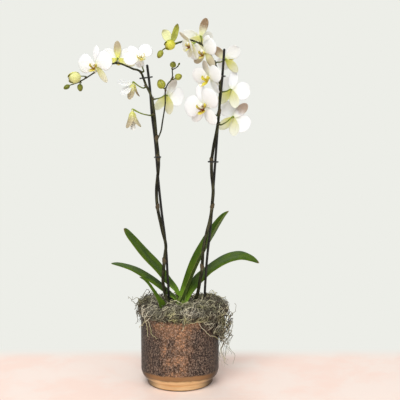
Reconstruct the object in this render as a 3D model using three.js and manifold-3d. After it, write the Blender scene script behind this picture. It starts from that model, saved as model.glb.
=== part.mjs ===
// A moth orchid with two flower spikes in a glazed pot.
// Millimetres, +Z up. The origin is the centre of the pot's flat underside, and the plant's front faces -Y.

import * as THREE from 'three';
import { mergeVertices } from 'three/addons/utils/BufferGeometryUtils.js';
import Module from 'manifold-3d';

const wasm = await Module();
wasm.setup();

// ---------------------------------------------------------------- driving dimensions

const GAP = 0.3; // between two pieces that rest on each other

const POT = {
  radius: 67.2, height: 122, wall: 5, floor: 12, rimRound: 1.5,
  shoulderTop: 26, footRadius: 57, footHeight: 10.5, footRound: 1, innerCove: 9,
};
const NURSERY = { topRadius: 58.8, baseRadius: 45, rimRadius: 61.4, rimDepth: 4, height: 104, wall: 1.5 };
const DRAIN_HOLES = { count: 6, radius: 4, ringRadius: 28, depth: 6 };
const BARK_HEIGHT = 96; // depth of the potting mix above the nursery pot's floor
const MOSS = { radius: 70, rightBulge: 16, rightHeap: 5, top: 146, lump: 2.6 };
const MOSS_BUNCH = { top: 121.6, bottom: 48, thickness: 19, halfWidth: 27, ragged: 3 };
const CROWN = { x: 2, y: -2, bottom: 98, top: 158, radius: 8.5 };

const LEAF_THICKNESS = 1.8;
const STAKE_RADIUS = 2.1;
const STEM_SIDES = 7;
const SPIKE_STEPS = 46;
const STAKE_STEPS = 12;
const CLIP = { height: 2.2, wall: 1.4, slack: 0.75, tabLength: 4.6, tabWidth: 1.4, tabGap: 0.2 };
const CLIP_HEIGHTS = { leftLow: 391, leftHigh: 522, rightLow: 383, rightHigh: 526 };

const TEPAL_THICKNESS = 1.1;
const SEPAL = { length: 31, width: 17 };
const PETAL = { length: 31, width: 31 };
const SEPAL_ANGLES = [0, 143, -143]; // from the upright sepal, turning left
const PETAL_ANGLES = [78, -78];
const SEPAL_SET = -2.2; // in front of the flower's centre
const PETAL_SET = 0.5;
const TEPAL_START = 0.9; // out from the flower's axis
const TEPAL_REFLEX = 0.1; // how far a tip bends back, as a share of the length
const TEPAL_CROWN = 0.15; // how far an edge bends back, as a share of the width
// The knob that sepals and petals grow from.
const COLUMN = { radius: 3, halfLength: 5.9, set: 1.6, tilt: 80 };
const LIP_BASE = { y: -3.8, z: 3.4 }; // from the flower's centre to where its lip is attached
const LIP = { length: 13, drop: 5.3, thickness: 1.2, lobeThickness: 1.1 };
const PEDICEL = { radius: 1.15, straight: 8, lead: 4 };
const BUD_STALK = { radius: 1, endRadius: 0.85, lead: 1.2 };

// ---------------------------------------------------------------- shared geometry

const vector = (values) => new THREE.Vector3(...values);

// Moves every vertex of a geometry to where place() puts it.
function reshape(geometry, place) {
  const position = geometry.attributes.position;
  const point = new THREE.Vector3();
  for (let i = 0; i < position.count; i += 1) {
    point.fromBufferAttribute(position, i);
    const moved = place(point);
    position.setXYZ(i, moved.x, moved.y, moved.z);
  }
  return geometry;
}

function weld(geometry) {
  const bare = geometry.clone();
  bare.deleteAttribute('normal');
  bare.deleteAttribute('uv');
  return mergeVertices(bare, 1e-4);
}

function toSolid(geometry) {
  const welded = weld(geometry);
  const vertProperties = Float32Array.from(welded.attributes.position.array);
  const triVerts = Uint32Array.from(welded.index.array);
  return new wasm.Manifold(new wasm.Mesh({ numProp: 3, vertProperties, triVerts }));
}

function toGeometry(solid) {
  const mesh = solid.getMesh();
  const geometry = new THREE.BufferGeometry();
  geometry.setAttribute('position', new THREE.BufferAttribute(mesh.vertProperties, 3));
  geometry.setIndex(new THREE.BufferAttribute(mesh.triVerts, 1));
  return geometry;
}

function join(geometries) {
  return toGeometry(geometries.map(toSolid).reduce((whole, solid) => whole.add(solid)));
}

// Cuts the clearance shapes out of a geometry and keeps its largest piece.
function cut(geometry, clearances) {
  const rest = clearances.map(toSolid).reduce((whole, solid) => whole.subtract(solid), toSolid(geometry));
  const pieces = rest.decompose();
  pieces.sort((a, b) => b.volume() - a.volume());
  return toGeometry(pieces[0]);
}

// Straight-line interpolation through evenly spaced values, for u from 0 to 1.
function blend(values, u) {
  const place = THREE.MathUtils.clamp(u, 0, 1) * (values.length - 1);
  const i = Math.min(Math.floor(place), values.length - 2);
  return THREE.MathUtils.lerp(values[i], values[i + 1], place - i);
}

// A round section swept along a route, as thick at each point as radii says.
function rod({ route, radii, sides = STEM_SIDES, steps, grow = 0 }) {
  const path = new THREE.CatmullRomCurve3(route.map(vector), false, 'centripetal');
  const frames = path.computeFrenetFrames(steps);
  const section = new THREE.Shape();
  for (let i = 0; i < sides; i += 1) {
    const angle = (2 * Math.PI * i) / sides;
    const corner = [Math.cos(angle), Math.sin(angle)];
    if (i === 0) section.moveTo(...corner);
    else section.lineTo(...corner);
  }
  const straight = new THREE.ExtrudeGeometry(section, { depth: 1, steps, bevelEnabled: false });
  return reshape(straight, (p) => {
    const u = p.z;
    const ring = Math.round(u * steps);
    const radius = blend(radii, u) + grow;
    const end = ring === 0 ? -1 : ring === steps ? 1 : 0;
    return path
      .getPointAt(u)
      .addScaledVector(frames.tangents[ring], end * grow)
      .addScaledVector(frames.normals[ring], p.x * radius)
      .addScaledVector(frames.binormals[ring], p.y * radius);
  });
}

// The point of a stem's centre line that lies nearest to a place, with the stem's radius there.
function nearest(stem, place) {
  const path = new THREE.CatmullRomCurve3(stem.route.map(vector), false, 'centripetal');
  const samples = 400;
  let best = null;
  for (let i = 0; i <= samples; i += 1) {
    const u = i / samples;
    const point = path.getPointAt(u);
    const distance = point.distanceTo(place);
    if (!best || distance < best.distance) {
      best = { point, distance, radius: blend(stem.radii, u), tangent: path.getTangentAt(u) };
    }
  }
  return best;
}

// The place where a stalk that comes from `towards` stops, just clear of the stem that carries it.
function seatOn(stem, joint, towards) {
  const spot = nearest(stem, vector(joint));
  const away = towards.clone().sub(spot.point).projectOnPlane(spot.tangent).normalize();
  const seat = spot.point.clone().addScaledVector(away, spot.radius + 1.8 * GAP);
  return { seat, away };
}

const orchid = new THREE.Group();

function addPiece(name, geometry, look, parent = orchid) {
  const mesh = new THREE.Mesh(geometry, new THREE.MeshStandardMaterial(look));
  mesh.name = name;
  parent.add(mesh);
  return mesh;
}

const LOOKS = {
  glaze: { color: 0x5b4534, roughness: 0.35, metalness: 0.3 },
  plastic: { color: 0x2a2a28, roughness: 0.6, metalness: 0 },
  bark: { color: 0x4a3524, roughness: 0.95, metalness: 0 },
  moss: { color: 0x9a9078, roughness: 1, metalness: 0 },
  crown: { color: 0x8fae3c, roughness: 0.6, metalness: 0 },
  leaf: { color: 0x37591a, roughness: 0.4, metalness: 0 },
  stem: { color: 0x4c4634, roughness: 0.6, metalness: 0 },
  stake: { color: 0x1c1b1a, roughness: 0.5, metalness: 0 },
  clip: { color: 0x1b1b1b, roughness: 0.4, metalness: 0 },
  petal: { color: 0xf6f4ee, roughness: 0.6, metalness: 0 },
  lip: { color: 0xd8b12a, roughness: 0.5, metalness: 0 },
  bud: { color: 0x9ca83a, roughness: 0.5, metalness: 0 },
};

// ---------------------------------------------------------------- pot

// Turns a closed outline of [radius, height] points round the Z axis.
function turn(outline, segments) {
  const points = outline.map(([radius, height]) => new THREE.Vector2(radius, height));
  const geometry = new THREE.LatheGeometry(points, segments);
  return geometry.rotateX(Math.PI / 2);
}

function glazedPot() {
  const inner = POT.radius - POT.wall;
  const shoulder = [];
  const cove = [];
  for (let i = 0; i <= 3; i += 1) {
    const angle = (i / 3) * (Math.PI / 2);
    const rise = (POT.shoulderTop - POT.footHeight) * (1 - Math.cos(angle));
    const spread = (POT.radius - POT.footRadius) * Math.sin(angle);
    shoulder.push([POT.footRadius + spread, POT.footHeight + rise]);
    const coveRise = (POT.shoulderTop - POT.floor) * (1 - Math.cos(angle));
    cove.push([inner - POT.innerCove * (1 - Math.sin(angle)), POT.floor + coveRise]);
  }
  const outline = [
    [0, 0],
    [POT.footRadius - POT.footRound, 0],
    [POT.footRadius, POT.footRound],
    ...shoulder,
    [POT.radius, POT.height - POT.rimRound],
    [POT.radius - POT.rimRound, POT.height],
    [inner + POT.rimRound, POT.height],
    [inner, POT.height - POT.rimRound],
    ...cove.reverse(),
    [0, POT.floor],
  ];
  return turn(outline, 32);
}

function nurseryPot() {
  const floor = POT.floor + GAP;
  const top = floor + NURSERY.height;
  const innerTop = NURSERY.topRadius - NURSERY.wall;
  const cup = turn(
    [
      [0, floor],
      [NURSERY.baseRadius, floor],
      [NURSERY.topRadius, top - NURSERY.rimDepth],
      [NURSERY.rimRadius, top - NURSERY.rimDepth],
      [NURSERY.rimRadius, top],
      [innerTop, top],
      [NURSERY.baseRadius - NURSERY.wall, floor + NURSERY.wall],
      [0, floor + NURSERY.wall],
    ],
    28,
  );
  const holes = [];
  for (let i = 0; i < DRAIN_HOLES.count; i += 1) {
    const angle = (2 * Math.PI * i) / DRAIN_HOLES.count;
    const hole = new THREE.CylinderGeometry(DRAIN_HOLES.radius, DRAIN_HOLES.radius, DRAIN_HOLES.depth, 8);
    hole.rotateX(Math.PI / 2);
    hole.translate(DRAIN_HOLES.ringRadius, 0, floor);
    hole.rotateZ(angle);
    holes.push(hole);
  }
  return cut(cup, holes);
}

addPiece('pot', glazedPot(), LOOKS.glaze);
addPiece('nursery_pot', nurseryPot(), LOOKS.plastic);

// ---------------------------------------------------------------- stems and stakes

const SPIKE_LEFT = {
  route: [
    [-7.5, -6, 112], [-14, -14, 132], [-24, -17, 156], [-28, -18, 177], [-27, -20, 200], [-25, -20, 223],
    [-23, -20, 243], [-29, -19, 269], [-37, -17, 309], [-39, -15, 336], [-39, -13, 378], [-38, -11, 421],
    [-40, -10, 453], [-42, -9, 475], [-45, -9, 490], [-50, -9, 501], [-55, -9, 511], [-59, -10, 522],
    [-62, -13, 530], [-67, -17, 535], [-75, -20, 537], [-84, -23, 541], [-100, -27, 546], [-120, -32, 541],
    [-136, -37, 531], [-148, -40, 523], [-158, -42, 517], [-164, -43, 514], [-170, -44, 512],
  ],
  radii: [2.8, 2.7, 2.6, 2.5, 2.4, 2.3, 2.1, 1.9, 1.6, 1.3, 1],
};

const SPIKE_RIGHT = {
  route: [
    [11.5, -5, 112], [20, -10, 132], [30, -16, 156], [34, -18, 177], [38, -19, 200], [39, -20, 216],
    [40, -20, 233], [45, -19, 259], [53, -17, 292], [56, -15, 319], [57, -14, 336], [53, -13, 361],
    [52, -12, 383], [55, -12, 405], [63, -12, 443], [67, -12, 473], [68, -12, 500], [67, -12, 520],
    [63, -13, 537], [56, -15, 553], [48, -17, 566], [40, -19, 575], [28, -22, 581], [15, -24, 584],
    [3, -27, 580], [-11, -31, 574], [-23, -34, 569],
  ],
  radii: [2.8, 2.7, 2.6, 2.5, 2.5, 2.4, 2.3, 2.1, 1.8, 1.4, 1],
};

const SIDE_BRANCH = {
  route: [
    [-31, -7, 434], [-28, -6, 451], [-23.5, -4, 480], [-23, -4, 501], [-19, -4, 513], [-13, -4, 520],
    [-11, -4, 528], [-11, -4, 536], [-6, -4, 539], [-2, -4, 542],
  ],
  radii: [1.3, 1.15, 0.9],
};

const STAKE_LEFT = {
  route: [
    [-15, -3, 18], [-18, -5, 100], [-19, -8, 156], [-21, -11, 198], [-22, -12, 221], [-25, -12, 258],
    [-30, -10, 297], [-36, -7, 356], [-41, -4, 420], [-46, -3, 463], [-49, -3, 507], [-53, -5, 544],
  ],
  radii: [STAKE_RADIUS, STAKE_RADIUS],
};

const STAKE_RIGHT = {
  route: [
    [38, -5, 18], [41, -6, 100], [43, -9, 158], [46, -12, 209], [48, -12, 231], [53, -11, 275],
    [56, -8, 318], [59, -6, 361], [62, -5, 404], [67, -5, 473], [70, -5, 502], [73, -6, 538],
    [75, -7, 570],
  ],
  radii: [STAKE_RADIUS, STAKE_RADIUS],
};

// The side branch starts on the left spike's surface.
const fork = seatOn(SPIKE_LEFT, [-38, -11, 421], vector([-30, -6, 423]));
const forkReach = fork.seat.clone().addScaledVector(fork.away, 2);
SIDE_BRANCH.route.unshift(fork.seat.toArray(), forkReach.toArray());

// ---------------------------------------------------------------- crown and leaves

function crownSolid(grow) {
  const { bottom, top, radius } = CROWN;
  const outline = [
    [0, bottom - grow],
    [radius * 0.7 + grow, bottom - grow],
    [radius + grow, bottom + 14],
    [radius * 0.95 + grow, bottom + 34],
    [radius * 0.7 + grow, top - 12],
    [radius * 0.35 + grow, top - 2],
    [0, top + grow],
  ];
  return turn(outline, 12).translate(CROWN.x, CROWN.y, 0);
}

// The width of a strap leaf along its length, as a share of the widest place.
const LEAF_OUTLINE = [0.36, 0.62, 0.8, 0.93, 1, 0.99, 0.9, 0.74, 0.5, 0.14];

const LEAVES = {
  leaf_1: {
    route: [
      [-3, -0.5, 148], [-9, 4, 160], [-22, 11.5, 176], [-36, 15, 195], [-53, 15, 214], [-70, 12, 234],
      [-86, 8, 254], [-96, 2, 267],
    ],
    side: [0.1, 0.98, 0.08],
    width: 42,
    channel: 0.15,
  },
  leaf_2: {
    route: [
      [-4, 1, 139], [-16, 9, 149], [-32, 17, 161], [-48, 23, 172], [-62, 28, 181], [-82, 32, 190],
      [-102, 37, 196], [-122, 43, 199],
    ],
    side: [0.3, 0.95, 0.04],
    width: 38,
    channel: 0.15,
  },
  leaf_3: {
    route: [
      [-3, -8, 119], [-14, -28, 126], [-30, -42, 136], [-37, -43, 149], [-43, -44, 159], [-50, -46, 170],
      [-57, -48, 181], [-67, -52, 195],
    ],
    side: [0.45, 0.8, 0.35],
    width: 18,
    channel: 0.3,
  },
  leaf_4: {
    route: [
      [3.5, -2, 154], [8, -1, 167], [14, 2, 180], [26, 7, 203], [39, 10, 228], [52, 12, 252],
      [67, 14, 276], [85, 17, 296],
    ],
    side: [0.37, -0.83, -0.41],
    width: 35,
    channel: 0.38,
  },
  leaf_5: {
    route: [
      [6, -2, 143], [15, 2, 154], [28, 8, 170], [42, 13, 186], [59, 15, 199], [76, 14, 209],
      [92, 12, 215], [107, 10, 217], [125, 8, 213], [138, 6, 206],
    ],
    side: [0, -1, -0.28],
    width: 40,
    channel: 0.1,
  },
};

function leafSolid({ route, side, width, channel }, grow = 0) {
  const path = new THREE.CatmullRomCurve3(route.map(vector), false, 'centripetal');
  const blade = new THREE.BoxGeometry(1, 1, 1, 4, 9, 1);
  return reshape(blade, (p) => {
    const u = p.y + 0.5;
    const along = path.getTangentAt(u);
    const across = vector(side);
    across.addScaledVector(along, -across.dot(along)).normalize();
    const up = new THREE.Vector3().crossVectors(across, along);
    const wide = blend(LEAF_OUTLINE, u) * width + grow;
    const rise = Math.abs(p.x) * wide * channel;
    return path
      .getPointAt(u)
      .addScaledVector(along, (u < 0.01 ? -0.5 : 0) * grow)
      .addScaledVector(across, p.x * wide)
      .addScaledVector(up, rise + p.z * (LEAF_THICKNESS + grow));
  });
}

// ---------------------------------------------------------------- potting mix and moss

function barkSolid() {
  const floor = POT.floor + GAP + NURSERY.wall + GAP;
  const top = floor + BARK_HEIGHT;
  const slope = (NURSERY.topRadius - NURSERY.baseRadius) / (NURSERY.height - NURSERY.rimDepth);
  const base = NURSERY.baseRadius - NURSERY.wall - GAP;
  return turn([[0, floor], [base, floor], [base + BARK_HEIGHT * slope - GAP, top], [0, top]], 28);
}

// The rise and fall of the heap, in millimetres.
function mossLump(x, y) {
  const broad = Math.sin(x * 0.21 + 1.3) * Math.cos(y * 0.19 - 0.4);
  const fine = Math.sin(x * 0.43 - y * 0.37);
  return MOSS.lump * (broad + 0.5 * fine);
}

function mossSolid() {
  const bark = POT.floor + 2 * GAP + NURSERY.wall + BARK_HEIGHT + GAP;
  const nurseryTop = POT.floor + GAP + NURSERY.height + GAP;
  const rim = POT.height + GAP;
  const insideNursery = NURSERY.topRadius - NURSERY.wall - 2;
  const insidePot = POT.radius - POT.wall - 1.2;
  const outline = [
    [0, bark],
    [insideNursery, bark],
    [insideNursery, nurseryTop],
    [insidePot, nurseryTop],
    [insidePot, rim],
    [MOSS.radius - 1, rim],
    [MOSS.radius + 2, rim + 4],
    [MOSS.radius + 1, rim + 11],
    [MOSS.radius - 6, rim + 19],
    [MOSS.radius - 18, MOSS.top],
    [MOSS.radius - 34, MOSS.top],
    [MOSS.radius - 50, MOSS.top - 3],
    [0, MOSS.top - 5],
  ];
  const mound = turn(outline, 22);
  return reshape(mound, (p) => {
    const radius = Math.hypot(p.x, p.y);
    const outside = THREE.MathUtils.smoothstep(radius, POT.radius - 3, POT.radius + 2);
    const above = THREE.MathUtils.smoothstep(p.z, rim + 1, rim + 12);
    const right = Math.max(0, p.x / Math.max(radius, 1)) ** 2;
    const stretch = 1 + (outside * right * MOSS.rightBulge) / MOSS.radius;
    const heap = above * (mossLump(p.x, p.y) + MOSS.rightHeap * right);
    return new THREE.Vector3(p.x * stretch, p.y * stretch, p.z + heap);
  });
}

// A bunch of moss that hangs outside the pot's wall, on the right.
function mossBunchSolid() {
  const block = new THREE.BoxGeometry(1, 1, 1, 6, 1, 6);
  return reshape(block, (p) => {
    const down = 0.5 - p.z;
    const narrow = 1 - 0.45 * down * down;
    const angle = (p.x * 2 * MOSS_BUNCH.halfWidth * narrow) / POT.radius;
    const edge = 1 - 1.3 * p.x * p.x;
    const depth = MOSS_BUNCH.thickness * edge * blend([0.62, 1, 0.95, 0.8, 0.4], down);
    const radius = POT.radius + 1.5 * GAP + (p.y < 0 ? 0 : depth);
    const ragged = -MOSS_BUNCH.ragged * Math.sin(p.x * 9) * down;
    const height = THREE.MathUtils.lerp(MOSS_BUNCH.top, MOSS_BUNCH.bottom, down) + ragged;
    return new THREE.Vector3(radius * Math.cos(angle), -radius * Math.sin(angle), height);
  });
}

const buriedStems = [
  rod({ ...SPIKE_LEFT, steps: SPIKE_STEPS, grow: GAP }),
  rod({ ...SPIKE_RIGHT, steps: SPIKE_STEPS, grow: GAP }),
];
const buriedStakes = [
  rod({ ...STAKE_LEFT, steps: STAKE_STEPS, grow: GAP }),
  rod({ ...STAKE_RIGHT, steps: STAKE_STEPS, grow: GAP }),
];
const buriedLeaves = Object.values(LEAVES).map((leaf) => leafSolid(leaf, 2 * GAP));
const buriedCrown = crownSolid(GAP);

addPiece('bark_mix', cut(barkSolid(), [...buriedStakes, buriedCrown]), LOOKS.bark);
addPiece(
  'moss_mound',
  cut(mossSolid(), [...buriedStems, ...buriedStakes, ...buriedLeaves, buriedCrown]),
  LOOKS.moss,
);
addPiece('moss_bunch', mossBunchSolid(), LOOKS.moss);

addPiece('crown', cut(crownSolid(0), [...buriedStems, ...buriedLeaves]), LOOKS.crown);
Object.entries(LEAVES).forEach(([name, leaf]) => addPiece(name, leafSolid(leaf), LOOKS.leaf));

addPiece('spike_left', rod({ ...SPIKE_LEFT, steps: SPIKE_STEPS }), LOOKS.stem);
addPiece('spike_right', rod({ ...SPIKE_RIGHT, steps: SPIKE_STEPS }), LOOKS.stem);
addPiece('side_branch', rod({ ...SIDE_BRANCH, sides: 6, steps: 24 }), LOOKS.stem);
addPiece('stake_left', rod({ ...STAKE_LEFT, steps: STAKE_STEPS }), LOOKS.stake);
addPiece('stake_right', rod({ ...STAKE_RIGHT, steps: STAKE_STEPS }), LOOKS.stake);

// ---------------------------------------------------------------- clips

// A closed loop round a stem and its stake, with a finger tab at each end.
function clipSolid(stem, stake, height) {
  const a = nearest(stem, vector([0, 0, height]).setX(nearestX(stem, height)));
  const b = nearest(stake, a.point);
  const reach = a.point.distanceTo(b.point);
  const outline = (extra) => {
    const ends = [
      [0, a.radius + CLIP.slack + extra],
      [reach, b.radius + CLIP.slack + extra],
    ];
    const shape = new THREE.Shape();
    shape.absarc(ends[0][0], 0, ends[0][1], Math.PI / 2, 1.5 * Math.PI);
    shape.absarc(ends[1][0], 0, ends[1][1], -Math.PI / 2, Math.PI / 2);
    shape.closePath();
    return shape;
  };
  const options = { depth: CLIP.height, bevelEnabled: false, curveSegments: 4 };
  const band = new THREE.ExtrudeGeometry(outline(CLIP.wall), options);
  const hole = new THREE.ExtrudeGeometry(outline(0), { ...options, depth: CLIP.height * 3 });
  hole.translate(0, 0, -CLIP.height);
  const tabs = [-1, 1].map((end) => {
    const tab = new THREE.BoxGeometry(CLIP.tabLength, CLIP.tabWidth, CLIP.height);
    const inside = end < 0 ? -(a.radius + CLIP.slack) : reach + b.radius + CLIP.slack;
    return tab.translate(inside + end * (CLIP.tabLength / 2 + CLIP.tabGap), 0, CLIP.height / 2);
  });
  const loop = toGeometry(toSolid(band).subtract(toSolid(hole)));
  const whole = toGeometry(tabs.map(toSolid).reduce((sum, tab) => sum.add(tab), toSolid(loop)));
  const along = b.tangent.clone();
  const across = b.point.clone().sub(a.point);
  across.addScaledVector(along, -across.dot(along)).normalize();
  const sideways = new THREE.Vector3().crossVectors(along, across);
  const frame = new THREE.Matrix4().makeBasis(across, sideways, along);
  frame.setPosition(a.point.clone().addScaledVector(along, -CLIP.height / 2));
  return whole.applyMatrix4(frame);
}

// Where a stem's centre line passes a height, from its route.
function nearestX(stem, height) {
  const above = stem.route.findIndex((point) => point[2] > height);
  const [low, high] = [stem.route[above - 1], stem.route[above]];
  return THREE.MathUtils.lerp(low[0], high[0], (height - low[2]) / (high[2] - low[2]));
}

const CLIPS = [
  ['clip_left_low', SPIKE_LEFT, STAKE_LEFT, CLIP_HEIGHTS.leftLow],
  ['clip_left_high', SPIKE_LEFT, STAKE_LEFT, CLIP_HEIGHTS.leftHigh],
  ['clip_right_low', SPIKE_RIGHT, STAKE_RIGHT, CLIP_HEIGHTS.rightLow],
  ['clip_right_high', SPIKE_RIGHT, STAKE_RIGHT, CLIP_HEIGHTS.rightHigh],
];
CLIPS.forEach(([name, stem, stake, height]) => addPiece(name, clipSolid(stem, stake, height), LOOKS.clip));

// ---------------------------------------------------------------- flowers

// Half-shares of the widest place, from where a tepal is attached to its tip.
const SEPAL_OUTLINE = [0.15, 0.92, 0.98, 0.28];
const PETAL_OUTLINE = [0.08, 0.88, 1, 0.36];

// One sepal or petal, lying in the flower's own frame: X across, Y up, Z to the front.
// It folds forward by `fold` degrees and is attached `set` in front of the flower's centre.
function tepal({ length, width }, outline, angle, fold, set) {
  const blade = new THREE.BoxGeometry(1, 1, TEPAL_THICKNESS, 2, 3, 1);
  reshape(blade, (p) => {
    const u = p.y + 0.5;
    const reflex = -TEPAL_REFLEX * length * u * u;
    const crown = -TEPAL_CROWN * width * p.x * p.x;
    const out = TEPAL_START + u * length;
    return new THREE.Vector3(p.x * width * blend(outline, u), out, p.z + reflex + crown);
  });
  blade.rotateX(THREE.MathUtils.degToRad(fold));
  blade.translate(0, 0, set);
  return blade.rotateZ(THREE.MathUtils.degToRad(angle));
}

// The lip: a middle lobe that reaches forward and down, and two side lobes that stand up beside the column.
// It is attached at LIP_BASE, under the column.
function lipSolid(size, lipSize) {
  const middle = reshape(new THREE.BoxGeometry(1, 1, 1, 2, 4, 1), (p) => {
    const u = p.y + 0.5;
    const wide = blend([3.4, 6, 11, 8, 2], u);
    const down = LIP_BASE.y - LIP.drop * Math.sin(u * 1.7);
    const lift = 0.45 * Math.abs(p.x) * wide;
    return new THREE.Vector3(-p.x * wide, down + lift + p.z * LIP.thickness, LIP_BASE.z + LIP.length * u);
  });
  const lobes = [-1, 1].map((hand) => {
    const wing = reshape(new THREE.BoxGeometry(1, 1, 1, 1, 3, 1), (p) => {
      const u = p.y + 0.5;
      const wide = blend([3, 6.5, 6, 2.5], u);
      const out = 1.2 + 6.2 * Math.sin(u * 1.35);
      return new THREE.Vector3(out + p.z * LIP.lobeThickness, -4.2 + 7.6 * u, 6.2 + 1.5 * u - p.x * wide);
    });
    if (hand < 0) {
      wing.scale(-1, 1, 1);
      wing.index.array.reverse();
    }
    return wing;
  });
  const attach = size - lipSize;
  return join([middle, ...lobes])
    .scale(lipSize, lipSize, lipSize)
    .translate(0, LIP_BASE.y * attach, LIP_BASE.z * attach);
}

// Turns a frame so that Z faces the flower's way and Y is its upright sepal.
function flowerFrame({ at, facing, up }) {
  const front = vector(facing).normalize();
  const tall = vector(up);
  tall.addScaledVector(front, -tall.dot(front)).normalize();
  const across = new THREE.Vector3().crossVectors(tall, front);
  return new THREE.Matrix4().makeBasis(across, tall, front).setPosition(vector(at));
}

// The stalk from the back of the flower to the spike, in the flower's own frame.
function pedicel(flower, frame, stem) {
  const centre = vector(flower.at);
  const back = vector(flower.facing).normalize();
  const behind = centre.clone().addScaledVector(back, -PEDICEL.straight * (flower.size ?? 1));
  const { seat, away } = seatOn(stem, flower.joint, behind);
  const near = seat.clone().addScaledVector(away, PEDICEL.lead);
  const toLocal = frame.clone().invert();
  const route = [centre, behind, near, seat].map((point) => point.applyMatrix4(toLocal).toArray());
  return rod({ route, radii: [PEDICEL.radius * 1.25, PEDICEL.radius, PEDICEL.radius], sides: 5, steps: 5 });
}

function perianthSolid(flower, frame, stem) {
  const { size = 1, fold = 8 } = flower;
  const sepal = { length: SEPAL.length * size, width: SEPAL.width * size };
  const petal = { length: PETAL.length * size, width: PETAL.width * size };
  const pieces = [
    new THREE.SphereGeometry(1, 6, 5)
      .scale(COLUMN.radius * size, COLUMN.halfLength * size, COLUMN.radius * size)
      .rotateX(THREE.MathUtils.degToRad(COLUMN.tilt))
      .translate(0, 0, COLUMN.set * size),
    ...SEPAL_ANGLES.map((angle) => tepal(sepal, SEPAL_OUTLINE, angle, fold, SEPAL_SET * size)),
    ...PETAL_ANGLES.map((angle) => tepal(petal, PETAL_OUTLINE, angle, fold, PETAL_SET * size)),
    pedicel(flower, frame, stem),
  ];
  return join(pieces);
}

const FLOWERS = {
  flower_left_1: {
    at: [-132, -59, 540],
    joint: [-126, -33, 540],
    facing: [-0.5, -0.85, -0.15],
    up: [0.05, 0, 1],
    size: 0.95,
  },
  flower_left_2: {
    at: [-102, -4, 556],
    joint: [-100, -27, 547],
    facing: [0, 0.98, -0.1],
    up: [0, 0, 1],
    size: 0.95,
  },
  flower_left_3: {
    at: [-61, -40, 553],
    joint: [-63, -14, 532],
    facing: [0.12, -0.97, 0.12],
    up: [-0.45, 0, 0.9],
    size: 0.92,
  },
  flower_left_4: {
    at: [-78, -15, 510],
    joint: [-54, -9, 508],
    facing: [-0.9, -0.28, -0.3],
    up: [-0.25, 0, 0.95],
    size: 0.84,
    fold: 24,
    lipSize: 0.74,
  },
  flower_left_5: {
    at: [-79, -8, 464],
    joint: [-41, -10, 462],
    facing: [0.18, 0.12, -0.95],
    up: [-1, 0.2, 0],
    size: 0.88,
    fold: 42,
    lipSize: 0.36,
  },
  flower_left_6: {
    at: [-19, 8, 493],
    joint: [-44, -9, 487],
    facing: [0.5, 0.82, -0.2],
    up: [0.35, 0, 0.93],
  },
  flower_right_1: {
    at: [19, -57, 575],
    joint: [15, -24, 584],
    facing: [-0.5, -0.75, -0.4],
    up: [-0.2, 0, 1],
    size: 0.84,
    fold: 12,
  },
  flower_right_2: {
    at: [35, 3, 595],
    joint: [37, -20, 577],
    facing: [-0.25, 0.93, 0.25],
    up: [0.35, 0, 0.94],
    size: 0.92,
  },
  flower_right_3: {
    at: [42, -44, 564],
    joint: [51, -16, 561],
    facing: [-0.8, -0.55, -0.2],
    up: [0.1, 0, 1],
    size: 0.9,
  },
  flower_right_4: {
    at: [49, -45, 522],
    joint: [67, -12, 517],
    facing: [-0.45, -0.82, -0.35],
    up: [-0.4, -0.2, 0.9],
    size: 0.9,
  },
  flower_right_5: {
    at: [41, -46, 476],
    joint: [66, -12, 461],
    facing: [-0.35, -0.92, -0.15],
    up: [-0.3, 0, 0.95],
  },
  flower_right_6: {
    at: [79, 13, 555],
    joint: [60, -14, 546],
    facing: [0.45, 0.86, 0.2],
    up: [-0.5, 0, 0.85],
    size: 0.92,
  },
  flower_right_7: {
    at: [88, 8, 503],
    joint: [68, -12, 500],
    facing: [0.3, 0.93, -0.15],
    up: [0.2, 0, 0.97],
  },
  flower_right_8: {
    at: [92, 9, 457],
    joint: [64, -12, 446],
    facing: [0.25, 0.93, -0.2],
    up: [0.55, 0, 0.83],
  },
};

Object.entries(FLOWERS).forEach(([name, flower]) => {
  const stem = name.startsWith('flower_left') ? SPIKE_LEFT : SPIKE_RIGHT;
  const frame = flowerFrame(flower);
  const group = new THREE.Group();
  group.applyMatrix4(frame);
  orchid.add(group);
  addPiece(name, perianthSolid(flower, frame, stem), LOOKS.petal, group);
  const size = flower.size ?? 1;
  addPiece(name.replace('flower', 'lip'), lipSolid(size, flower.lipSize ?? size), LOOKS.lip, group);
});

// ---------------------------------------------------------------- buds

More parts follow.
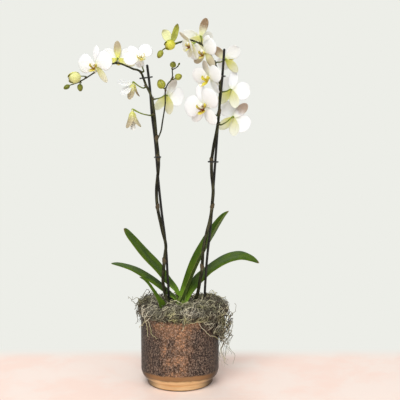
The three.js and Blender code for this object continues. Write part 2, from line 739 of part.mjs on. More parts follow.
const BUDS = {
  bud_left_open: {
    at: [-167, -54, 522],
    joint: [-149, -40, 522],
    axis: [-0.8, -0.3, -0.2],
    radius: 8.5,
    length: 21,
  },
  bud_left_2: {
    at: [-159.5, -44, 506],
    joint: [-159.5, -42, 516],
    axis: [0.1, 0, -1],
    radius: 4.6,
    length: 12,
  },
  bud_left_3: {
    at: [-181, -46, 507],
    joint: [-170, -44, 512],
    axis: [-0.8, -0.1, -0.5],
    radius: 3.8,
    length: 11,
    tip: true,
  },
  bud_branch_1: {
    at: [-30, -5, 513],
    joint: [-23, -4, 505],
    axis: [-0.35, 0, 0.9],
    radius: 6,
    length: 15,
  },
  bud_branch_2: {
    at: [-1, -4, 525],
    joint: [-12, -4, 521],
    axis: [0.8, 0, 0.3],
    radius: 5,
    length: 11.5,
  },
  bud_branch_3: {
    at: [-12, -5, 547],
    joint: [-11, -4, 537],
    axis: [-0.2, 0, 1],
    radius: 4,
    length: 9,
  },
  bud_branch_4: {
    at: [0, -4, 546],
    joint: [-2, -4, 542],
    axis: [0.5, 0, 0.8],
    radius: 1.6,
    length: 4.5,
    tip: true,
  },
  bud_right_open: {
    at: [-14, -43, 576],
    joint: [3, -26.5, 580],
    axis: [-0.75, -0.3, -0.1],
    radius: 7,
    length: 18,
    sepals: [
      { from: [-9, -42, 580], to: [0, -40, 608], width: 9 },
      { from: [-14, -40, 581], to: [-25, -38, 600], width: 15 },
    ],
  },
  bud_right_2: {
    at: [-30, -36, 560],
    joint: [-23, -34, 569],
    axis: [-0.45, -0.1, -0.9],
    radius: 4.8,
    length: 14,
    tip: true,
  },
};

// A sepal that has already folded back from a half-open bud.
function freeSepal({ from, to, width }) {
  const along = vector(to).sub(vector(from));
  const toFront = new THREE.Vector3(0, -1, 0);
  const across = new THREE.Vector3().crossVectors(along, toFront).normalize();
  const front = new THREE.Vector3().crossVectors(across, along).normalize();
  const blade = new THREE.BoxGeometry(1, 1, TEPAL_THICKNESS, 2, 4, 1);
  return reshape(blade, (p) => {
    const u = p.y + 0.5;
    const wide = width * blend([0.5, 0.9, 1, 0.75, 0.25], u);
    return vector(from)
      .addScaledVector(along, u)
      .addScaledVector(across, p.x * wide)
      .addScaledVector(front, p.z - 4 * Math.sin(Math.PI * u) * 0.5 + 0.25 * Math.abs(p.x) * wide);
  });
}

// A bud on its short stalk.
function budSolid({ at, joint, axis, radius, length, tip, sepals = [] }, stem) {
  const centre = vector(at);
  const along = vector(axis).normalize();
  const turnTo = new THREE.Quaternion().setFromUnitVectors(new THREE.Vector3(0, 1, 0), along);
  const body = new THREE.SphereGeometry(1, 8, 6);
  reshape(body, (p) => {
    const taper = 1 - 0.14 * p.y;
    return new THREE.Vector3(p.x * radius * taper, (p.y * length) / 2, p.z * radius * taper);
  });
  body.applyQuaternion(turnTo);
  body.translate(...at);
  const base = centre.clone().addScaledVector(along, -length / 2 + 1);
  const end = nearest(stem, vector(joint));
  const { seat, away } = tip
    ? { seat: end.point.clone().addScaledVector(end.tangent, 2 * GAP), away: end.tangent }
    : seatOn(stem, joint, base);
  const inside = centre.clone().addScaledVector(along, -length / 4);
  const near = seat.clone().addScaledVector(away, BUD_STALK.lead);
  const route = [inside, base, near, seat].map((point) => point.toArray());
  const stalk = rod({ route, radii: [BUD_STALK.radius, BUD_STALK.endRadius], sides: 5, steps: 4 });
  return join([body, stalk, ...sepals.map(freeSepal)]);
}

Object.entries(BUDS).forEach(([name, bud]) => {
  const carrier = name.includes('branch') ? SIDE_BRANCH : name.includes('left') ? SPIKE_LEFT : SPIKE_RIGHT;
  addPiece(name, budSolid(bud, carrier), LOOKS.bud);
});

export default orchid;
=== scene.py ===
# A moth orchid with two staked flower spikes, in a glazed pot with a gold foot and hanging moss.
# Tables are in millimetres and degrees, and every mesh is in metres.

import math

import bpy
import numpy as np
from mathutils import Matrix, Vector, noise


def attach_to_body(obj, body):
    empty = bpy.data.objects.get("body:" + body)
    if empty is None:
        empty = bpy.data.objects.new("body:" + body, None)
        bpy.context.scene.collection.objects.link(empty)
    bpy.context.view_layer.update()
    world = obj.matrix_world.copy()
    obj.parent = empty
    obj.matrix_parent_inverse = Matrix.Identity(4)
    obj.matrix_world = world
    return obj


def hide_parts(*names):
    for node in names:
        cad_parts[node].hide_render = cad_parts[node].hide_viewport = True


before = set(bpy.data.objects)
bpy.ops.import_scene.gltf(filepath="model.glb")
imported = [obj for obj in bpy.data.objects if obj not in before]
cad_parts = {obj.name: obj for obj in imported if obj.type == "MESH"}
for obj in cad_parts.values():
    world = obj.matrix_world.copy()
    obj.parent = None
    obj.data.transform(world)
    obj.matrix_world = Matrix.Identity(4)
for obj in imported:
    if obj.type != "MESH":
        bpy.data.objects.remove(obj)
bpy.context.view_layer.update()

# ---------------------------------------------------------------- glazed pot
# Thrown stoneware: a straight wall, a rounded shoulder and a narrower foot. The body is dipped in a dark
# glaze that broke into stipples and copper patches. The foot and the underside of the shoulder are
# brushed with a gold lustre, and the plant's inner pot stands on the floor inside.

MM = 0.001


class Surface:
    """Collects the skins of one piece: its points, faces and what its material reads at each point."""

    def __init__(self):
        self.points = []
        self.faces = []
        self.finishes = []
        self.marks = {}
        self.count = 0

    def add(self, points, faces, finish=0, **marks):
        points = np.asarray(points, float)
        for name in set(self.marks) | set(marks):
            value = marks.get(name, 0.0)
            held = self.marks.setdefault(name, [np.zeros(self.count)])
            held.append(np.broadcast_to(np.asarray(value, float), len(points)))
        self.points.append(points)
        self.faces.extend(tuple(i + self.count for i in face) for face in faces)
        self.finishes.extend([finish] * len(faces))
        self.count += len(points)

    def piece(self, name, materials, slot, replaces=()):
        """Makes the piece, which rides with the pot and stands for the CAD nodes named."""
        mesh = bpy.data.meshes.new(name)
        mesh.from_pydata(np.concatenate(self.points).tolist(), [], self.faces)
        mesh.polygons.foreach_set("material_index", self.finishes)
        for mark, parts in self.marks.items():
            attribute = mesh.attributes.new(mark, "FLOAT", "POINT")
            attribute.data.foreach_set("value", np.concatenate(parts).astype(np.float32))
        return place_piece(mesh, name, materials, replaces)


def place_piece(mesh, name, materials, replaces=()):
    mesh.validate()
    mesh.polygons.foreach_set("use_smooth", [True] * len(mesh.polygons))
    while len(mesh.materials) < len(materials):
        mesh.materials.append(materials[len(mesh.materials)])
    piece = bpy.data.objects.new(name, mesh)
    bpy.context.scene.collection.objects.link(piece)
    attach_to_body(piece, "root")
    if replaces:
        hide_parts(*replaces)
    return piece


def grid_faces(rows, columns, start=0, closed=False):
    """Quads over a grid of points, row by row. A closed grid joins its last column to its first."""
    faces = []
    for row in range(rows - 1):
        for column in range(columns if closed else columns - 1):
            right = (column + 1) % columns
            low, high = start + row * columns, start + (row + 1) * columns
            faces.append((low + column, low + right, high + right, high + column))
    return faces


def ringed_skin(rings, first, last):
    """A closed skin over a (rows, columns, 3) stack of rings, with a pole point at each end."""
    rows, columns = rings.shape[:2]
    faces = grid_faces(rows, columns, closed=True)
    low_pole, top = rows * columns, (rows - 1) * columns
    for column in range(columns):
        right = (column + 1) % columns
        faces.append((low_pole, right, column))
        faces.append((low_pole + 1, top + column, top + right))
    return np.concatenate([rings.reshape(-1, 3), [first, last]]), faces


def lathe(outline, segments):
    """Turns (radius, height) points round the Z axis. They run from the underside to the inside."""
    outline = np.asarray(outline, float)
    angle = np.arange(segments) * 2 * math.pi / segments
    rings = np.empty((len(outline), segments, 3))
    rings[:, :, 0] = outline[:, :1] * np.cos(angle)
    rings[:, :, 1] = outline[:, :1] * np.sin(angle)
    rings[:, :, 2] = outline[:, 1:]
    return ringed_skin(rings, (0, 0, outline[0][1]), (0, 0, outline[-1][1]))


def wire(tree, kind, inputs=None, **settings):
    """Adds a shader or geometry node, sets its inputs by name or number, and returns it."""
    node = tree.nodes.new(kind)
    for name, value in settings.items():
        setattr(node, name, value)
    for key, value in (inputs or {}).items():
        if isinstance(value, bpy.types.NodeSocket):
            tree.links.new(value, node.inputs[key])
        else:
            node.inputs[key].default_value = value
    return node


def new_material(name, **plain):
    """A material with its Principled shader. plain sets that shader's own sockets, such as Roughness."""
    material = bpy.data.materials.new(name)
    material.use_nodes = True
    tree = material.node_tree
    tree.nodes.clear()
    shader = wire(tree, "ShaderNodeBsdfPrincipled", {k.replace("_", " "): v for k, v in plain.items()})
    output = wire(tree, "ShaderNodeOutputMaterial")
    feed(output, Surface=shader.outputs[0])
    return material, tree, shader


def srgb(red, green, blue):
    """A colour as it is seen on a screen, 0 to 255, as Blender's linear colour."""
    shares = (red / 255, green / 255, blue / 255)
    return (*(((c + 0.055) / 1.055) ** 2.4 if c > 0.04 else c / 12.92 for c in shares), 1)


def object_place(tree, scale=(1, 1, 1)):
    coordinates = wire(tree, "ShaderNodeTexCoord").outputs["Object"]
    return wire(tree, "ShaderNodeMapping", {"Vector": coordinates, "Scale": scale}).outputs[0]


def object_axes(tree):
    """A place's X, Y and Z, each as a value."""
    coordinates = wire(tree, "ShaderNodeTexCoord").outputs["Object"]
    return wire(tree, "ShaderNodeSeparateXYZ", {0: coordinates}).outputs


def mark_value(tree, name):
    return wire(tree, "ShaderNodeAttribute", attribute_name=name).outputs["Fac"]


def tree_of(*values):
    """The node tree that the first socket among the values belongs to."""
    return next(value.id_data for value in values if isinstance(value, bpy.types.NodeSocket))


def step(kind, inputs, **settings):
    """Adds a node to the tree that its inputs come from, and returns its first output."""
    return wire(tree_of(*inputs.values()), kind, inputs, **settings).outputs[0]


def math_node(operation, a, b=0.0, clamp=False):
    return step("ShaderNodeMath", {0: a, 1: b}, operation=operation, use_clamp=clamp)


def times(a, b, clamp=False):
    return math_node("MULTIPLY", a, b, clamp)


def plus(a, b, clamp=False):
    return math_node("ADD", a, b, clamp)


def less(a, b):
    return math_node("SUBTRACT", a, b)


def spread(value, low, high, to_low=0.0, to_high=1.0):
    """Stretches a value from low..high to to_low..to_high, smoothly and clamped."""
    inputs = {"Value": value, "From Min": low, "From Max": high, "To Min": to_low, "To Max": to_high}
    return step("ShaderNodeMapRange", inputs, interpolation_type="SMOOTHSTEP")


# The Mix node's sockets share their names between data types, so colours are set by number.
def mix_colour(share, first, second):
    inputs = {0: share, 6: first, 7: second}
    return wire(tree_of(*inputs.values()), "ShaderNodeMix", inputs, data_type="RGBA").outputs[2]


def noise_value(place, scale, detail=3.0, rough=0.55, distortion=0.0):
    inputs = {
        "Vector": place, "Scale": scale, "Detail": detail, "Roughness": rough, "Distortion": distortion,
    }
    return step("ShaderNodeTexNoise", inputs)


def bump(height, strength, distance):
    return step("ShaderNodeBump", {"Height": height, "Strength": strength, "Distance": distance})


def feed(node, **fed):
    """Links a value to each of a node's inputs that is named, such as Base_Color."""
    for name, socket in fed.items():
        node.id_data.links.new(socket, node.inputs[name.replace("_", " ")])


def effect_group(name, inputs, outputs):
    """A shader node group with named inputs, each with its default, and named outputs."""
    group = bpy.data.node_groups.new(name, "ShaderNodeTree")
    for socket, default in inputs.items():
        kind = "NodeSocketVector" if default is None else "NodeSocketFloat"
        made = group.interface.new_socket(socket, in_out="INPUT", socket_type=kind)
        if default is not None:
            made.default_value = default
    for socket, kind in outputs.items():
        group.interface.new_socket(socket, in_out="OUTPUT", socket_type=kind)
    return group, wire(group, "NodeGroupInput").outputs, wire(group, "NodeGroupOutput")


def use_effect(group, **given):
    """Places an effect in the tree that its inputs come from, and returns the effect's outputs."""
    inputs = {name.replace("_", " "): value for name, value in given.items()}
    return wire(tree_of(*given.values()), "ShaderNodeGroup", inputs, node_tree=group).outputs


# Uneven patches with soft edges and a fine speckle in them, which most of the plant's skins have.
patches, given, out = effect_group(
    "patches_and_speckle",
    {"Place": None, "Patch Scale": 40.0, "Speckle Scale": 600.0, "Cover": 0.5, "Softness": 0.12},
    {"Patches": "NodeSocketFloat", "Speckle": "NodeSocketFloat"},
)
broad = noise_value(given["Place"], given["Patch Scale"], 4, 0.6, 0.3)
fine = noise_value(given["Place"], given["Speckle Scale"], 2, 0.7)
edge_low = less(given["Cover"], given["Softness"])
edge_high = plus(given["Cover"], given["Softness"])
feed(out, Patches=spread(broad, edge_low, edge_high), Speckle=spread(fine, 0.42, 0.6))

POT = {
    "radius": 67.2, "height": 122, "wall": 5, "floor": 12, "foot": 57, "foot_height": 10.5, "shoulder": 26,
}
POT_SEGMENTS = 360
GLAZE_EDGE = 21  # mean height of the line where the dark glaze ends
GLAZE_TILT = 7  # the pot was dipped at a slight tilt, so the line is higher in front


def arc(centre, radii, start, end, count):
    """Points on an ellipse from one angle to another, in degrees."""
    angles = np.radians(np.linspace(start, end, count))
    return [(centre[0] + radii[0] * math.cos(a), centre[1] + radii[1] * math.sin(a)) for a in angles]


def line(start, end, count):
    """Points from start towards end, without the end itself."""
    return [tuple(np.array(start) + (np.array(end) - np.array(start)) * i / count) for i in range(count)]


def pot_outline():
    radius, height, foot = POT["radius"], POT["height"], POT["foot"]
    inner = radius - POT["wall"]
    rise = POT["shoulder"] - POT["foot_height"]
    outside = [
        *line((4, 1.2), (foot - 9, 1.2), 8),
        *line((foot - 9, 1.2), (foot - 7, 0), 3),
        *line((foot - 7, 0), (foot - 1.5, 0), 4),
        *arc((foot - 1.5, 1.5), (1.5, 1.5), -90, 0, 5),
        *line((foot, 2.2), (foot, 8.2), 8),
        (foot + 0.3, 9.2), (foot + 1.1, 10.2), (foot + 2.2, 10.9),
        *arc((foot, POT["shoulder"]), (radius - foot, rise), -70, 0, 24),
        *line((radius, POT["shoulder"] + 0.9), (radius, height - 2.5), 104),
        *arc((radius - 2.5, height - 2.5), (2.5, 2.5), 0, 180, 12),
        *line((inner, height - 3.5), (inner, POT["shoulder"] + 6), 16),
        *arc((inner - 12, POT["floor"] + 12), (12, 12), 0, -90, 8),
        *line((inner - 13, POT["floor"]), (0, POT["floor"]), 6),
    ]
    return np.array(outside)


def pot_relief(points):
    """How far the stippled glaze stands out from the turned wall, in millimetres."""
    relief = np.zeros(len(points))
    for i, (x, y, z) in enumerate(points):
        outer = math.hypot(x, y) > POT["foot"] + 4 and z < POT["height"] - 1
        if not outer:
            continue
        spot = Vector((x, y, z))
        ragged = noise.noise(spot * 0.05) * 3
        covered = min(1.0, max(0.0, (z - GLAZE_EDGE - GLAZE_TILT * -y / POT["radius"] - ragged) / 2.5))
        stipple = noise.fractal(spot * 0.32, 0.7, 2.1, 3)
        pits = noise.voronoi(spot * 0.42)[0][0]
        relief[i] = covered * (0.16 + 0.2 * stipple - 0.28 * max(0.0, 0.32 - pits))
    return relief


pot_points, pot_faces = lathe(pot_outline(), POT_SEGMENTS)
flat_way = pot_points * (1, 1, 0)
flat_way /= np.maximum(np.linalg.norm(flat_way, axis=1, keepdims=True), 1e-6)
pot_points = pot_points + flat_way * pot_relief(pot_points)[:, None]
pot_points[:, :2] *= (1 + 0.0015 * np.sin(3 * np.arctan2(pot_points[:, 1], pot_points[:, 0])))[:, None]
pot_surface = Surface()
pot_surface.add(pot_points * MM, pot_faces)

glaze, tree, shader = new_material("dark_glaze_and_gold_lustre", Specular_IOR_Level=0.25)
place = object_place(tree)
x_y_z = object_axes(tree)
stretched = object_place(tree, (1, 1, 0.7))
copper = use_effect(
    patches, Place=stretched, Patch_Scale=46.0, Speckle_Scale=420.0, Cover=0.5, Softness=0.12,
)
ash = use_effect(patches, Place=stretched, Patch_Scale=60.0, Speckle_Scale=900.0, Cover=0.56)
ripples = wire(tree, "ShaderNodeTexNoise", {"Vector": place, "Scale": 260.0, "Detail": 2.0})
ruffle = {0: 0.0022, 4: place, 5: ripples.outputs["Color"]}
ruffled = wire(tree, "ShaderNodeMix", ruffle, data_type="VECTOR").outputs[1]
cracks = wire(tree, "ShaderNodeTexVoronoi", {"Vector": ruffled, "Scale": 330.0, "Randomness": 1.0})
cell_tone = step("ShaderNodeSeparateColor", {0: cracks.outputs["Color"]})
web = times(spread(cracks.outputs["Distance"], 0.12, 0.62, 1, 0), spread(cell_tone, 0, 1, 0.15, 1))
front = spread(times(x_y_z[1], -1.0), 0.01, 0.05)
off_middle = math_node("ABSOLUTE", plus(x_y_z[0], 0.005))
wavy = times(less(noise_value(place, 42.0, 3), 0.5), 0.06)
off_middle = math_node("ABSOLUTE", plus(off_middle, wavy))
bare_strip = spread(off_middle, 0.006, 0.033, 1, 0)
near_rim = spread(plus(x_y_z[2], wavy), 0.09, 0.116)
bare_top = times(near_rim, spread(off_middle, 0.026, 0.046, 1, 0))
bare = times(math_node("MAXIMUM", bare_strip, bare_top), front)
patchy = plus(spread(copper["Patches"], 0, 1, 0.12, 0.9), times(bare_top, 0.85), True)
bare = times(bare, patchy)
bare = plus(bare, times(copper["Patches"], 0.16), True)
body = mix_colour(web, srgb(18, 12, 10), srgb(93, 74, 67))
body = mix_colour(times(ash["Patches"], 0.25), body, srgb(66, 54, 50))
bare_web = times(bare, spread(web, 0, 0.6, 0.3, 1))
body = mix_colour(bare_web, body, srgb(188, 137, 98))
flecks = times(copper["Speckle"], times(ash["Speckle"], 0.6))
body = mix_colour(flecks, body, srgb(196, 168, 146))
brushed = noise_value(object_place(tree, (40, 40, 260)), 1.0, 3, 0.6)
gold = mix_colour(spread(brushed, 0.3, 0.75), srgb(229, 192, 141), srgb(245, 215, 168))
height_line = times(x_y_z[1], GLAZE_TILT / POT["radius"])
ragged = times(noise_value(place, 60.0, 4, 0.6), 0.006)
above = less(plus(x_y_z[2], height_line), ragged)
# Painted shadow: the gold from the glaze edge down is painted dark brown, for the shade under the
# overhanging shoulder.
painted_shoulder_shadow = spread(above, (GLAZE_EDGE - 14) * MM, (GLAZE_EDGE - 7) * MM)
gold = mix_colour(times(painted_shoulder_shadow, 0.8), gold, srgb(140, 96, 58))
# Painted shadow: a dark line along the very bottom of the foot for its contact shadow, and a thin dark ring
# about 8 to 12 mm under the glaze edge for the shade in the groove there.
painted_contact_and_groove_shadow = math_node(
    "MAXIMUM", spread(x_y_z[2], 0.001, 0.0028, 0.75, 0),
    times(
        spread(above, (GLAZE_EDGE - 12) * MM, (GLAZE_EDGE - 10) * MM),
        spread(above, (GLAZE_EDGE - 9.5) * MM, (GLAZE_EDGE - 8) * MM, 0.45, 0),
    ),
)
gold = mix_colour(painted_contact_and_groove_shadow, gold, srgb(70, 44, 28))
is_glaze = spread(above, (GLAZE_EDGE - 4) * MM, (GLAZE_EDGE - 1) * MM)
pot_colour = mix_colour(is_glaze, gold, body)
# Painted shade: the glaze, and the gold less strongly, is painted darker towards the pot's left and right
# sides, for the dark surroundings that the glossy pot reflects there.
from_axis = wire(tree, "ShaderNodeVectorMath", {0: object_place(tree, (1, 1, 0))}, operation="LENGTH")
sideways = math_node("ABSOLUTE", plus(x_y_z[0], 0.0015))
painted_flank_shade = spread(math_node("DIVIDE", sideways, from_axis.outputs["Value"]), 0.34, 1.0)
painted_flank_shade = times(times(painted_flank_shade, painted_flank_shade), spread(is_glaze, 0, 1, 0.9, 0.56))
pot_colour = mix_colour(painted_flank_shade, pot_colour, srgb(26, 17, 12))
feed(shader, Base_Color=pot_colour, Metallic=spread(is_glaze, 0, 1, 0.7, 0.0))
rough_body = spread(noise_value(place, 300.0, 3), 0.3, 0.7, 0.42, 0.62)
rough_gold = spread(brushed, 0.3, 0.7, 0.34, 0.44)
rough = step("ShaderNodeMix", {0: is_glaze, 2: rough_gold, 3: rough_body})
feed(shader, Roughness=rough)
relief = times(plus(web, noise_value(place, 800.0, 3)), is_glaze)
relief = plus(relief, times(brushed, 0.05))
feed(shader, Normal=bump(relief, 0.5, 0.0005))

pot_surface.piece("orchid_pot", [glaze], "pot_glaze", ["pot"])

# ---------------------------------------------------------------- inner pot and potting mix
# The grower's thin black pot, pressed from one sheet of plastic, stands loose in the glazed one. It is
# full of fir bark. Both are covered by the moss, so they keep their plain shapes.

plastic, tree, shader = new_material("nursery_plastic", Roughness=0.55)
scuffs = noise_value(object_place(tree, (60, 60, 500)), 1.0, 3)
feed(shader, Base_Color=mix_colour(scuffs, srgb(26, 26, 25), srgb(48, 47, 45)))

bark, tree, shader = new_material("fir_bark", Roughness=0.95)
chips = wire(tree, "ShaderNodeTexVoronoi", {"Vector": object_place(tree, (1, 1.6, 2.4)), "Scale": 90.0})
shade = use_effect(patches, Place=object_place(tree), Patch_Scale=120.0, Cover=0.5)
chip_colour = mix_colour(shade["Patches"], srgb(70, 45, 30), srgb(122, 86, 58))
feed(shader, Base_Color=chip_colour, Normal=bump(chips.outputs["Distance"], 0.8, 0.003))

for node, finish in (("nursery_pot", plastic), ("bark_mix", bark)):
    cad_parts[node].data.materials.clear()
    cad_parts[node].data.materials.append(finish)

# ---------------------------------------------------------------- leaves
# Five strap leaves, thick and stiff, folded along the midrib. Each clasps the short stem with its base and
# arches out over the rim. The upper side is glossy dark green with fine parallel veins, the lower paler.


def eased(values, share):
    """A smooth curve through evenly spaced values, read at share, from 0 to 1."""
    values = np.asarray(values, float)
    spot = np.clip(share, 0, 1) * (len(values) - 1)
    i = np.minimum(np.asarray(spot).astype(int), len(values) - 2)
    t = spot - i
    padded = np.concatenate([[2 * values[0] - values[1]], values, [2 * values[-1] - values[-2]]])
    a, b, c, d = (padded[i + k] for k in range(4))
    return b + 0.5 * t * (c - a + t * (2 * a - 5 * b + 4 * c - d + t * (3 * (b - c) + d - a)))


def unit(vectors):
    vectors = np.asarray(vectors, float)
    return vectors / np.maximum(np.linalg.norm(vectors, axis=-1, keepdims=True), 1e-9)


def smooth_path(route, count):
    """Points evenly spaced along a smooth curve through a route."""
    knots = np.asarray(route, float)
    knots = np.vstack([2 * knots[0] - knots[1], knots, 2 * knots[-1] - knots[-2]])
    gaps = np.maximum(np.linalg.norm(np.diff(knots, axis=0), axis=1), 1e-6) ** 0.5
    t = np.linspace(0, 1, 20, endpoint=False)[:, None]
    dense = []
    for i in range(1, len(knots) - 2):
        before, start, end, after = knots[i - 1 : i + 3]
        a, b, c = gaps[i - 1 : i + 2]
        leave = b * ((start - before) / a - (end - before) / (a + b) + (end - start) / b)
        arrive = b * ((end - start) / b - (after - start) / (b + c) + (after - end) / c)
        cubic = 2 * (start - end) + leave + arrive
        dense.append(start + t * (leave + t * (3 * (end - start) - 2 * leave - arrive + t * cubic)))
    dense = np.concatenate([*dense, knots[-2:-1]])
    reach = np.concatenate([[0], np.cumsum(np.linalg.norm(np.diff(dense, axis=0), axis=1))])
    wanted = np.linspace(0, reach[-1], count)
    return np.stack([np.interp(wanted, reach, dense[:, axis]) for axis in range(3)], axis=1)


def square_to(way, run):
    """The direction nearest to a way that stands square to a run."""
    way = np.asarray(way, float)
    return unit(way - run * (way @ run))


def sheet_grid(rows, columns):
    """A column of shares along a sheet, 0 to 1, and a row of shares across it, -1 to 1."""
    return np.linspace(0, 1, rows)[:, None], np.linspace(-1, 1, columns)[None, :]


def laid_out(start, *ways):
    """A grid of points: from start, each of the ways gives a direction and how far to go along it."""
    for way, amount in ways:
        start = start + way * amount[..., None]
    return start


def thin_sheet(middle, thickness):
    """A closed sheet round a (rows, columns, 3) grid of its middle. Its front faces the way across x along.
    Returns points, faces, and each point's share along and across and whether it is at the back."""
    rows, columns = middle.shape[:2]
    out = unit(np.cross(np.gradient(middle, axis=1), np.gradient(middle, axis=0)))
    u, x = np.broadcast_arrays(*sheet_grid(rows, columns))
    taper = np.sqrt(np.clip(1 - np.abs(x) ** 5, 0, 1)) * np.clip(1 - np.abs(2 * u - 1) ** 14, 0, 1)
    half = out * (thickness * taper / 2)[..., None]
    inner = np.zeros((rows, columns), bool)
    inner[1:-1, 1:-1] = True
    back_index = np.arange(rows * columns).reshape(rows, columns)
    back_index[inner] = rows * columns + np.arange(inner.sum())
    back_index = back_index.ravel().tolist()
    faces = grid_faces(rows, columns)
    faces += [tuple(back_index[i] for i in reversed(face)) for face in faces]
    points = np.concatenate([(middle + half).reshape(-1, 3), (middle - half)[inner]])
    along, across = (np.concatenate([value.ravel(), value[inner]]) for value in (u, x))
    return points, faces, along, across, np.repeat([0.0, 1.0], [rows * columns, inner.sum()])


def add_sheet(surface, middle, thickness, to_plant=np.asarray, **marks):
    """Adds a closed sheet to a piece. to_plant puts its points in their place, in millimetres."""
    points, faces, along, across, back = thin_sheet(middle, thickness)
    surface.add(to_plant(points) * MM, faces, **{"along": along, "across": across, "back": back, **marks})


LEAF_THICKNESS = 1.9
LEAF_ROWS = 90
LEAF_COLUMNS = 29
LEAF_OUTLINE = [0.36, 0.6, 0.78, 0.92, 1, 1, 0.95, 0.86, 0.7, 0.5]

LEAVES = {
    "leaf_1": {
        "route": [(-3, -0.5, 148), (-9, 4, 160), (-22, 11.5, 176), (-36, 15, 195), (-53, 15, 214),
                  (-70, 12, 234), (-86, 8, 254), (-96, 2, 267)],
        "side": (0.12, 0.97, 0.17), "width": 44, "channel": 0.15,
    },
    "leaf_2": {
        "route": [(-4, 1, 139), (-13, 4, 149), (-26, 8, 160), (-43, 14, 173), (-61, 21, 184),
                  (-79, 28, 192), (-98, 34, 197.5), (-113, 38, 200), (-122, 42, 200)],
        "side": (0.3, 0.95, 0.02), "width": 30, "channel": 0.06,
    },
    "leaf_3": {
        "route": [(-4, -12, 110), (-14, -24, 118), (-22, -33, 130), (-29, -38.5, 145), (-37, -42, 160),
                  (-44, -44, 172), (-50.5, -45, 182), (-58, -46.5, 190), (-66, -49, 194.5)],
        "side": (0.6, 0.7, 0.3), "width": 22, "channel": 0.3,
        "outline": [0.5, 0.85, 1, 0.95, 0.7, 0.42, 0.3, 0.26, 0.22, 0.16],
    },
    "leaf_4": {
        "route": [(5, -3, 138), (9, -3, 150), (14, -1, 164), (21.5, 1, 184), (30, 3, 203.5), (40, 5, 223.5),
                  (50, 7, 242), (59.5, 9, 258), (68.5, 11, 274), (78, 14, 289), (85, 16, 296.5)],
        "side": (0.15, -0.9, -0.25), "width": 31, "channel": 0.85,
        "outline": [0.55, 0.72, 0.88, 0.98, 1, 0.98, 0.92, 0.8, 0.58, 0.24],
    },
    "leaf_5": {
        "route": [(8, -3, 138), (13, -1, 151), (19, 1, 163), (29, 6, 176), (42, 12, 188), (58, 14, 201),
                  (75, 14, 211.5), (92, 12, 218), (107, 10, 220), (124, 8, 215), (137, 6, 207)],
        "side": (0, -1, -0.28), "base_side": (0.57, -0.63, -0.5), "width": 39, "channel": 0.1,
        "outline": [0.34, 0.5, 0.72, 0.9, 1, 1, 0.97, 0.88, 0.7, 0.42],
    },
}


def leaf_middle(leaf, ripple_seed):
    """The middle of a leaf's sheet: folded along the midrib, most at its base, with a faint ripple."""
    path = smooth_path(leaf["route"], LEAF_ROWS)
    along = unit(np.gradient(path, axis=0))
    u, x = sheet_grid(LEAF_ROWS, LEAF_COLUMNS)
    twist = np.clip(1 - u / 0.45, 0, 1) ** 1.3
    base_side = leaf.get("base_side", leaf["side"])
    side = np.asarray(leaf["side"], float) * (1 - twist) + np.asarray(base_side) * twist
    across = unit(side - along * np.sum(along * side, axis=1)[:, None])
    up = np.cross(across, along)
    blunt = np.maximum(1 - np.clip((u - 0.9) / 0.1, 0, 1) ** 2.2, 0.001) ** 0.5
    wide = leaf["width"] * eased(leaf.get("outline", LEAF_OUTLINE), u) * np.maximum(blunt, 0.05)
    clasp = leaf["channel"] + 0.55 * np.exp(-u / 0.09)
    bend = np.sqrt((x / 2) ** 2 + 0.0016) - 0.04
    ripple = 0.35 * np.sin(u * 17 + ripple_seed) * np.abs(x) ** 2 * np.sin(u * math.pi)
    crown_roll = -0.07 * wide * x**4
    rise = wide * clasp * bend + ripple + crown_roll
    return laid_out(path[:, None], (across[:, None], x / 2 * wide), (up[:, None], rise))


# Fine parallel veins. The count is how many cross the whole width of a leaf, sepal or petal.
veins, given, out = effect_group(
    "parallel_veins", {"Across": 0.0, "Along": 0.0, "Count": 20.0, "Waver": 0.03},
    {"Veins": "NodeSocketFloat"},
)
flat_spot = wire(veins, "ShaderNodeCombineXYZ", {0: given["Across"], 1: given["Along"]}).outputs[0]
waver = times(noise_value(flat_spot, 3.0, 2), given["Waver"])
phase = times(plus(given["Across"], waver), given["Count"])
feed(out, Veins=math_node("PINGPONG", phase, 1.0))

leaf_green, tree, shader = new_material("leaf", Roughness=0.5, Specular_IOR_Level=0.14)
across = mark_value(tree, "across")
along = mark_value(tree, "along")
below = mark_value(tree, "back")
place = object_place(tree)
mottle = use_effect(patches, Place=place, Patch_Scale=55.0, Speckle_Scale=900.0, Softness=0.2)
lines = use_effect(veins, Across=across, Along=along, Count=22.0, Waver=0.05)["Veins"]
top_green = mix_colour(mottle["Patches"], srgb(46, 72, 10), srgb(76, 100, 16))
base_glow = spread(along, 0.02, 0.22, 1, 0)
top_green = mix_colour(base_glow, top_green, srgb(124, 162, 50))
top_green = mix_colour(times(lines, 0.2), top_green, srgb(96, 120, 34))
midrib = spread(math_node("ABSOLUTE", across), 0.0, 0.06, 0.75, 0)
top_green = mix_colour(midrib, top_green, srgb(38, 54, 12))
under_green = mix_colour(mottle["Patches"], srgb(78, 98, 44), srgb(104, 122, 62))
green = mix_colour(below, top_green, under_green)
rim = spread(math_node("ABSOLUTE", across), 0.93, 1.0)
green = mix_colour(times(rim, 0.6), green, srgb(138, 144, 66))
tip = spread(plus(along, times(mottle["Speckle"], 0.02)), 0.985, 1.0)
green = mix_colour(tip, green, srgb(120, 96, 52))
feed(
    shader, Base_Color=green, Roughness=spread(mottle["Patches"], 0, 1, 0.62, 0.74),
    Normal=bump(lines, 0.22, 0.0003),
)

for number, (node, leaf) in enumerate(LEAVES.items()):
    middle = leaf_middle(leaf, 2.1 * number)
    swell = 1 + 0.5 * np.exp(-((np.linspace(-1, 1, LEAF_COLUMNS) / 0.12) ** 2))
    leaf_surface = Surface()
    add_sheet(leaf_surface, middle, LEAF_THICKNESS * swell)
    leaf_surface.piece("orchid_" + node, [leaf_green], "leaf", [node])

